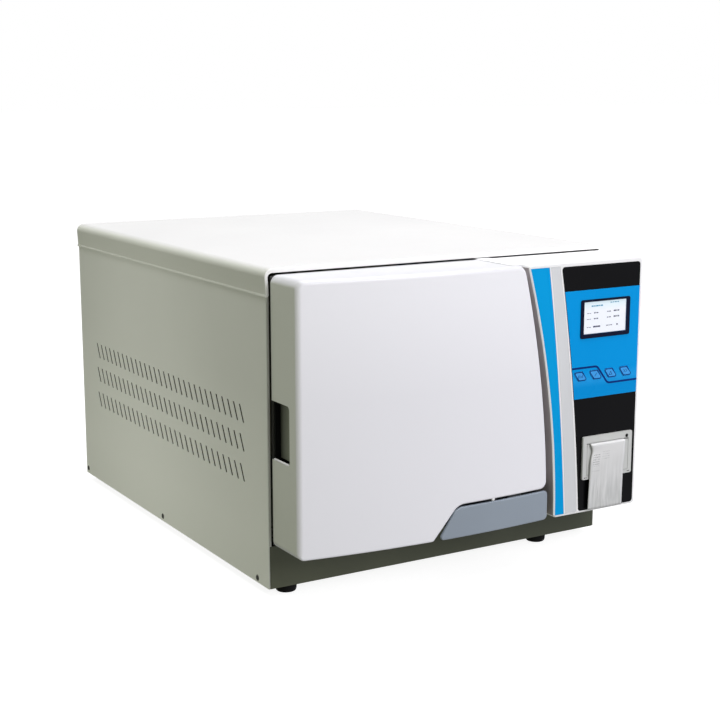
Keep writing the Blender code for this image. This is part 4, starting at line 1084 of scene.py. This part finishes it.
def column():
    """White housing of the controls, with seats and windows for what it carries."""
    work = rounded_front(column_outline(), lambda x: COLUMN_FRONT, lambda x: COLUMN[1].y,
                         lambda x, z: 2.2, wall=COLUMN_WALL, spacing=18, arc=6)
    low, high = STRIPE_Z[0] - SEAT_GAP, STRIPE_Z[1] + SEAT_GAP
    seats = [(strip_outline(*grown(edges, SEAT_GAP), low, high), 0.6)
             for edges in (blue_edges, silver_edges)]
    seats.append((strip_outline(lambda z: fascia_edge(z) - SEAT_GAP,
                                lambda z: FASCIA_RIGHT + SEAT_GAP, FASCIA[0].z - SEAT_GAP,
                                FASCIA[1].z + SEAT_GAP, radius=4.2), 1.5))
    cuts = [plate(outline, "y", AHEAD, COLUMN_FRONT + depth) for outline, depth in seats]
    cuts += [plate(key_outline(i, 0.6), "y", AHEAD, WINDOW_REAR) for i in range(KEY_COUNT)]
    for (left, right), (low, high) in (((SCREEN[0].x, SCREEN[1].x), (SCREEN[0].z, SCREEN[1].z)),
                                       (BUCKET_X, BUCKET_Z)):
        cuts.append(block((left - WINDOW_GAP, AHEAD, low - WINDOW_GAP),
                          (right + WINDOW_GAP, WINDOW_REAR, high + WINDOW_GAP)))
    housing = carved(work, *cuts)
    housing.normal_update()
    # painted shade: the housing's left wall, in the gap by the door, takes a grey that stands for
    # its shade
    for face in housing.faces:
        spot = face.calc_center_median()
        if face.normal.x < -0.9 and spot.x < column_edge(spot.z) + 1:
            face.material_index = 1
    flat_weighted(piece("column_housing", housing, ["column_white", "gap_painted_shade"],
                        stands_for=["column_shell"], smooth=32))


def stripes():
    for name, edges, material in (("blue_stripe", blue_edges, "blue_film"),
                                  ("silver_stripe", silver_edges, "silver_film")):
        film = plate(strip_outline(*grown(edges, 0), *STRIPE_Z), "y", COLUMN_FRONT,
                     COLUMN_FRONT + 0.5)
        piece(name + "_film", film, material, stands_for=[name], bevel=0.15,
              segments=1)


def key_outline(index, grow=0.0, radius=2.2):
    """Leaning outline of a key, grown a little more at its sharp corners."""
    left = KEY_LEFT + KEY_PITCH * index
    low, high = KEY_Z
    return rounded([(left + KEY_LEAN - grow, low - grow, radius),
                    (left + KEY_LEAN + KEY_WIDTH + grow * 1.4, low - grow, radius),
                    (left + KEY_WIDTH + grow, high + grow, radius),
                    (left - grow * 1.4, high + grow, radius)], 6)


def fascia():
    """Gloss black panel with rounded corners and windows, and the film behind its keys."""
    over_screen = framed(SCREEN, -WINDOW_GAP)
    over_printer = rectangle(BUCKET_X[0] - 0.9, BUCKET_X[1] + 0.9, BUCKET_Z[0] - 0.9,
                             BUCKET_Z[1] + 0.9)
    over_keys = [key_outline(i, 0.4) for i in range(KEY_COUNT)]
    outline = strip_outline(fascia_edge, lambda z: FASCIA_RIGHT, FASCIA[0].z, FASCIA[1].z,
                            radius=4)
    panel = plate(outline, "y", COLUMN_FRONT, COLUMN_FRONT + 1.4,
                  [over_screen, over_printer, *over_keys])
    piece("fascia_panel", panel, "fascia_gloss",
          stands_for=["control_fascia"], bevel=0.25)
    outline = strip_outline(lambda z: fascia_edge(z) + 0.2, lambda z: FASCIA_RIGHT - 0.2,
                            FILM[0].z, FILM[1].z)
    film = plate(outline, "y", FILM[0].y, FILM[1].y, [over_screen, *over_keys])
    piece("keypad_film_sheet", film, "keypad_film",
          stands_for=["keypad_overlay"], bevel=0.12, segments=1)


def keypad_print():
    """Dark line that steps down through the keypad."""
    y = FILM[0].y
    high, low, bend = 248, 224.4, 4
    corners = [Vector(spot) for spot in ((fascia_edge(high) + 0.4, high), (435.5, high),
                                         (453.5, low), (FASCIA_RIGHT - 0.4, low))]
    path = [corners[0]]
    for before, here, after in zip(corners, corners[1:], corners[2:]):
        start, end = (here + (other - here).normalized() * bend for other in (before, after))
        path += [start.lerp(here, t).lerp(here.lerp(end, t), t) for t in steps(0, 1, 7)]
    path.append(corners[-1])
    line = plate(band_outline(path, 2.6), "y", y - 0.08, y + 0.05)
    piece("keypad_line", line, "navy")


def key_marks(index):
    """Small generic signs of lines, one kind for each key, as outlines."""
    centre = Vector((KEY_LEFT + KEY_PITCH * index + (KEY_WIDTH + KEY_LEAN) / 2, sum(KEY_Z) / 2))
    columns = [(-3.4, -2, -3.4, 1.4), (-1.2, -2, -1.2, 2.2), (1.0, -2, 1.0, 0.6),
               (3.2, -2, 3.2, 1.6)]
    slash = [(-1.4, -2, 1.6, 2.2)]
    roof = [(-2.2, -1.8, 0, 1.8), (0, 1.8, 2.2, -1.8), (-2.6, -2.2, 2.6, -2.2)]
    chevrons = [(x, z, x + lean, z + 2) for x, z, lean in
                ((-3.0, -1.8, 2), (-1.0, 0.2, -2), (0.4, -1.8, 2), (2.4, 0.2, -2))]
    return [band_outline([centre + Vector((x0, z0)), centre + Vector((x1, z1))], 0.7)
            for x0, z0, x1, z1 in (columns, slash, roof, chevrons)[index]]


def keys():
    """Four key caps, each with a ring and a sign printed on it."""
    for index in range(KEY_COUNT):
        node = f"key_{index + 1}"
        low, high = bounds_mm(node)
        cap = plate(key_outline(index), "y", low.y, high.y)
        piece(f"{node}_cap", cap, "key_face", node, [node], bevel=0.35)
        ring = plate(key_outline(index, -0.1, 2.1), "y", low.y - 0.08, low.y + 0.1,
                     [key_outline(index, -1.15, 1.4)])
        marks = [plate(outline, "y", low.y - 0.06, low.y + 0.1) for outline in key_marks(index)]
        piece(f"{node}_print", merged(ring, *marks), "navy", node)


def display():
    """Bezel, lit screen and rows of dashes in place of its text."""
    bezel = plate(framed(BEZEL, 0, 2.5), "y", BEZEL[0].y, BEZEL[1].y,
                  [framed(SCREEN, -WINDOW_GAP, 0.8)])
    piece("screen_bezel", bezel, "bezel", stands_for=["display_bezel"],
          bevel=0.3)
    glass = plate(framed(SCREEN, 0, 0.6), "y", SCREEN[0].y, SCREEN[1].y)
    piece("screen_panel", glass, "lit_screen", stands_for=["display_screen"],
          bevel=0.2)
    left, y, top = SCREEN[0].x, SCREEN[0].y, SCREEN[1].z

    def dashes(x, z, widths, height, gap=0.9):
        found = []
        for width in widths:
            found.append(plate(rectangle(x, x + width, z, z + height), "y", y - 0.06, y + 0.1))
            x += width + gap
        return found

    header = dashes(left + 12, top - 6.4, (3.2, 2.4, 4.0, 2.0, 3.4), 1.7)
    header += dashes(left + 43, top - 3.2, (3.0, 2.2, 3.8, 2.6), 1.0)
    piece("screen_header", merged(*header), "screen_cyan")
    rows = []
    for z in (top - 15, top - 22.5):
        rows += dashes(left + 5, z, (3.0, 2.4), 0.7)
        rows += dashes(left + 16.5, z - 0.2, (2.2, 0.9, 1.8), 1.5)
        rows += dashes(left + 38, z + 0.2, (2.4, 3.0), 1.1)
        rows += dashes(left + 49, z + 0.3, (3.6, 1.6, 2.2), 1.7)
    rows += dashes(left + 5, top - 33, (2.6, 3.2), 0.7)
    rows += dashes(left + 15.5, top - 33.4, (4.4, 2.6, 3.4), 2.0, 0.5)
    rows += dashes(left + 37, top - 32.8, (3.2, 2.0, 2.6), 1.0)
    rows += dashes(left + 54, top - 33, (2.2,), 1.8)
    piece("screen_rows", merged(*rows), "screen_ink")


# ---------------------------------------------------------------- printer

def printer():
    """Printer body with its paper slot and tear bar, the lid, a lamp and rivets."""
    face, bottom = PRINTER[0].y, PRINTER[1].y
    back = COLUMN_FRONT - 0.3
    opening = rectangle(*OPENING_X, *OPENING_Z, 1.0)
    rim = plate(framed(PRINTER, 0, 2.0), "y", face, back, [opening])
    bucket = carved(block((BUCKET_X[0], back - 0.5, BUCKET_Z[0]),
                          (BUCKET_X[1], bottom, BUCKET_Z[1])),
                    plate(opening, "y", face - 5, bottom - 2))
    tear_bar = block((OPENING_X[0] - 0.5, face + 0.4, OPENING_Z[1] - 1.3),
                     (OPENING_X[1] + 0.5, face + 2.5, OPENING_Z[1] + 0.5))
    piece("printer_bezel", carved(rim, bucket, tear_bar, operation="UNION"), "grey_plastic",
          stands_for=["printer_frame"], smooth=30, bevel=0.5)
    piece("printer_lid", plate(framed(LID, 0, 1.2), "y", LID[0].y, LID[1].y), "grey_plastic",
          "printer_cover", ["printer_cover"], smooth=30, bevel=0.4)
    lamp = lathe([(0, 0.5), (1.8, 0.5), (2.3, 0.2), (2.3, -1), (0, -1)], (487.8, face, 150.2),
                 "front", 20)
    rivets = [lathe([(0, 0.15), (0.8, 0.1), (0.9, -0.5), (0, -0.5)], (x, face, 101.4), "front",
                    12) for x in (418.3, 420.9, 491.0, 493.4)]
    piece("printer_lamp", merged(lamp, *rivets), "rubber")


def roll():
    """Paper roll whose turns show as steps in its ends."""
    low, high = bounds_mm("paper_roll")
    centre = (low + high) / 2
    radius, half = (high.z - low.z) / 2, (high.x - low.x) / 2
    side = [(5, half - 0.6)]
    side += [(r, half - 0.25 * (i % 2)) for i, r in enumerate(steps(6.4, radius - 0.4, 9))]
    side.append((radius, half - 0.3))
    profile = side + [(r, -h) for r, h in side[::-1]]
    piece("recorder_roll", lathe(profile, centre, "right", 64), "paper", "paper_roll",
          ["paper_roll"], smooth=30)


PAPER_THICK = 0.3


def paper():
    """Recorder paper that comes out of the slot, curls over and hangs down."""
    left, right = PAPER[0].x, PAPER[1].x
    far = PAPER[0].y + PAPER_THICK
    slot, top, bend = Vector((-83.6, 146.1)), 146.2, 2.6
    path = [slot, Vector((far + bend, top))]
    path += [Vector((far + bend * (1 - math.sin(t)), top - bend * (1 - math.cos(t))))
             for t in steps(0.25, math.pi / 2, 7)]
    path += [Vector((far, z)) for z in steps(top - bend, PAPER[0].z, 28)[1:]]
    lengths = [0.0]
    for a, b in zip(path, path[1:]):
        lengths.append(lengths[-1] + (b - a).length)
    across = 16
    rows = []
    for point in path:
        row = []
        fall = ease(point.y, PAPER[0].z, top)          # 1 at the slot, 0 at the foot
        out = ease(top - point.y, 0.5, 5)
        curl = ease(top - point.y, 1, 9) * (1 - ease(top - point.y, 9, 24))
        for k in range(across + 1):
            u = k / across
            back = out * (1.9 * u * ease(fall, 1.0, 0.6) + 2.2 * (1 - fall) * (1 - u) +
                          0.4 * math.sin(3 * math.pi * u) * (1 - fall))
            tuck = curl * (1 - u) ** 3
            row.append((left + (right - left) * u - 1.2 * (1 - fall) + 3.2 * tuck,
                        point.x + back + 1.4 * tuck, point.y))
        rows.append(row)
    work, grid = loft(rows)
    uv = work.loops.layers.uv.new("UVMap")
    place = {vert: (k / across, lengths[j] / lengths[-1])
             for j, line in enumerate(grid) for k, vert in enumerate(line)}
    for face in work.faces:
        for corner in face.loops:
            corner[uv].uv = place[corner.vert]
    sheet = piece("recorder_paper", work, "printed_paper", "paper_strip",
                  ["paper_strip"], smooth=60)
    solid = sheet.modifiers.new("thick", "SOLIDIFY")
    solid.thickness = PAPER_THICK / 1000
    solid.offset = 0


# ---------------------------------------------------------------- rear

FAN = Vector((120.0, 290.0))
INLET = Vector((405.0, 100.0))
VALVE = Vector((250.0, 335.0))
NOZZLE = Vector((60.0, 92.0))
FAN_CORNERS = [FAN + Vector((x, z)) for x in (-52.5, 52.5) for z in (-52.5, 52.5)]


def rear_sheet():
    """Rear panel with its vents and openings, and the screws in it."""
    low, high = REAR
    vents = [rectangle(x, x + 4, z, z + 46, 1.9, 4) for z in (160, 222)
             for x in steps(330, 456, 15)]
    inlet = rectangle(INLET.x - 29, INLET.x + 29, INLET.y - 17, INLET.y + 17, 1)
    holes = [circle(*FAN, 54, 72), inlet, circle(*VALVE, 8, 32), circle(*NOZZLE, 6, 32), *vents]
    piece("rear_sheet", plate(framed(REAR, 0, 2), "y", low.y, high.y, holes), "panel_paint",
          stands_for=["rear_panel"], bevel=0.3)
    spots = [(x, z) for x in (14, 254, 494) for z in (66, 376)] + [(14, 221), (494, 221)]
    screws("rear_screws", [(x, high.y, z) for x, z in spots + FAN_CORNERS], "rear", 3.3, 1.4)


def fan_guard():
    """Chromed wire guard over the fan."""
    y = REAR[1].y + 2.6
    wires = []
    for radius in (12, 20, 28, 36, 44, 52):
        wires.append(tube([(FAN.x + radius * math.cos(a), y, FAN.y + radius * math.sin(a))
                           for a in steps(0, math.tau, 49)], 0.8, 8))
    for turn in (math.pi / 4, 3 * math.pi / 4):
        c, s = math.cos(turn), math.sin(turn)
        line = [(FAN.x + r * c, REAR[1].y + 1.4, FAN.y + r * s) for r in steps(-72, 72, 9)]
        wires.append(tube(line, 0.9, 8))
    for x, z in FAN_CORNERS:
        wires.append(lathe([(2.4, 0.9), (4.6, 0.9), (4.6, -0.2), (2.4, -0.2)],
                           (x, REAR[1].y + 1.0, z), "rear", 24))
    piece("fan_guard", merged(*wires), "steel")


def inlet_details():
    """Three pins and two screws of the mains inlet."""
    y = bounds_mm("power_inlet")[1].y
    middle = INLET.x - 12
    pins = [block((middle + dx - 1.1, 613, INLET.y + dz - 3),
                  (middle + dx + 1.1, y - 4, INLET.y + dz + 3))
            for dx, dz in ((-7, -1.5), (0, 2.5), (7, -1.5))]
    piece("inlet_pins", merged(*pins), "brass", bevel=0.4)
    screws("inlet_screws", [(INLET.x - 31, y, INLET.y + 18.5), (INLET.x + 31, y, INLET.y - 18.5)],
           "rear", 2.4, 0.9)


def rear_fittings():
    """Nuts of the safety valve and the exhaust nozzle, and the valve's pull ring."""
    y = REAR[1].y
    nut = lathe([(8.5, 5.5), (11, 5.5), (12.4, 4.8), (12.4, 0.7), (11, 0), (8.5, 0)],
                (VALVE.x, y + 0.1, VALVE.y), "rear", 6)
    collar = lathe([(6.2, 4.5), (9.6, 4.5), (10.6, 3.9), (10.6, 0.6), (9.6, 0), (6.2, 0)],
                   (NOZZLE.x, y + 0.1, NOZZLE.y), "rear", 6)
    piece("rear_nuts", merged(nut, collar), "brass", bevel=0.3)
    ring_y, ring_radius = 647.7, 5.2
    pull = tube([(VALVE.x + ring_radius * math.cos(a), ring_y, VALVE.y + ring_radius * math.sin(a))
                 for a in steps(0, math.tau, 25)], 0.7, 8)
    piece("valve_pull_ring", pull, "steel")


# ---------------------------------------------------------------- CAD nodes that stay

KEPT = {
    "front_frame": "bulkhead", "heater_jacket": "heater", "insulation_jacket": "insulation",
    "chamber_cradle": "steel", "tray_rack": "steel", "clean_water_tank": "tank_plastic",
    "waste_water_tank": "tank_plastic", "steam_generator": "polished_steel",
    "vacuum_pump": "dark_plastic", "condenser": "steel", "fan_shroud": "dark_plastic",
    "fan_rotor": "dark_plastic", "main_board": "board", "safety_valve": "brass",
    "exhaust_nozzle": "brass", "power_inlet": "dark_plastic",
    "power_switch_rocker": "knob_red", "door_liner": "panel_paint",
    "pressure_bridge": "dark_plastic", "latch_tongue": "steel", "lock_bolt": "polished_steel",
    "lock_bracket": "dark_plastic", "lower_hinge_bracket": "dark_plastic",
    "drain_bay": "dark_plastic",
}


def finish_kept_nodes():
    """Give the CAD nodes that no piece stands for their materials."""
    for node, material in KEPT.items():
        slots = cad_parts[node].data.materials
        for index in range(len(slots)):
            slots[index] = MATERIALS[material]
        if not slots:
            slots.append(MATERIALS[material])


# ---------------------------------------------------------------- studio

CAMERA_SPOT = Vector((-756.43, -1485.51, 605.63))
CAMERA_YAW, CAMERA_PITCH = math.radians(30.79), math.radians(10.90)
CAMERA_LENS = 71.685


def camera():
    data = bpy.data.cameras.new("camera")
    data.lens = CAMERA_LENS
    data.sensor_width = 36.0
    data.clip_end = 100.0
    obj = placed("camera", data)
    obj.location = TO_ROW @ CAMERA_SPOT
    obj.rotation_euler = (math.pi / 2 - CAMERA_PITCH, 0, -CAMERA_YAW)
    bpy.context.scene.camera = obj


def softbox(name, spot, target, size, power, colour):
    data = bpy.data.lights.new(name, "AREA")
    data.shape = "RECTANGLE"
    data.size, data.size_y = size
    data.energy = power
    data.color = colour
    obj = placed(name, data)
    obj.location = spot
    obj.rotation_euler = (Vector(target) - Vector(spot)).to_track_quat("-Z", "Y").to_euler()


def studio():
    scene = bpy.context.scene
    scene.view_settings.view_transform = "Standard"
    world = bpy.data.worlds.new("studio")
    scene.world = world
    world.use_nodes = True
    nodes, links = world.node_tree.nodes, world.node_tree.links
    background = nodes["Background"]
    direction = nodes.new("ShaderNodeTexCoord").outputs["Generated"]
    side = range_node(nodes, links, axis_of(nodes, links, direction, "X"), (-0.35, 0.55))
    tone = mixed(nodes, links, side, (0.28, 0.29, 0.238), (0.68, 0.68, 0.72))
    background.inputs["Strength"].default_value = 1.0
    links.new(tone, background.inputs["Color"])
    white = nodes.new("ShaderNodeBackground")
    white.inputs["Color"].default_value = (1, 1, 1, 1)
    seen = nodes.new("ShaderNodeLightPath").outputs["Is Camera Ray"]
    blend = nodes.new("ShaderNodeMixShader")
    links.new(seen, blend.inputs["Fac"])
    links.new(background.outputs["Background"], blend.inputs[1])
    links.new(white.outputs["Background"], blend.inputs[2])
    links.new(blend.outputs["Shader"], nodes["World Output"].inputs["Surface"])

    softbox("overhead", (0.15, 0.0, 2.6), (0, 0, 0.3), (2.6, 2.6), 82, (1.0, 1.0, 1.0))
    softbox("key", (0.75, -2.7, 1.5), (0.0, -0.2, 0.25), (1.4, 1.4), 35, (0.985, 0.965, 1.0))
    softbox("left_fill", (-0.62, 0.12, 0.07), (-0.25, 0.12, 0.05), (0.12, 0.8), 0.42,
            (1.0, 1.0, 0.94))

    work = bmesh.new()
    bmesh.ops.create_grid(work, x_segments=4, y_segments=4, size=30)
    floor = placed("floor", mesh_of(work, "floor"))
    floor.location.z = FRAME_BOX[0].z - 0.0002
    material = finish("floor", (0.30, 0.30, 0.30), 0.9, grain=30, bump=0.02, vary=0.01, blotch=1,
                      ior=1.1)
    shader = material.node_tree.nodes["Principled BSDF"]
    shader.inputs["Emission Color"].default_value = (1, 1, 1, 1)
    shader.inputs["Emission Strength"].default_value = 0.88
    floor.data.materials.append(material)
    floor.visible_diffuse = False
    floor.visible_glossy = False


# ---------------------------------------------------------------- assembly

camera()
studio()
finish_kept_nodes()

top_cover()
side_panel("left")
side_panel("right")
side_screws()
base_tray()
for foot_name in FOOT_SPOTS:
    foot(foot_name)
bulkhead_details()
chamber()
for tray_name in ("lower_tray", "middle_tray", "upper_tray"):
    perforated_tray(tray_name)
pressure_disc()

door_shell()
recess_shade_well()
lever()
upper_hinge()
flap_catch()
liner_screws()
flap()
drain_valves()

column()
stripes()
fascia()
keypad_print()
keys()
display()
printer()
roll()
paper()

rear_sheet()
fan_guard()
inlet_details()
rear_fittings()

bpy.context.view_layer.update()
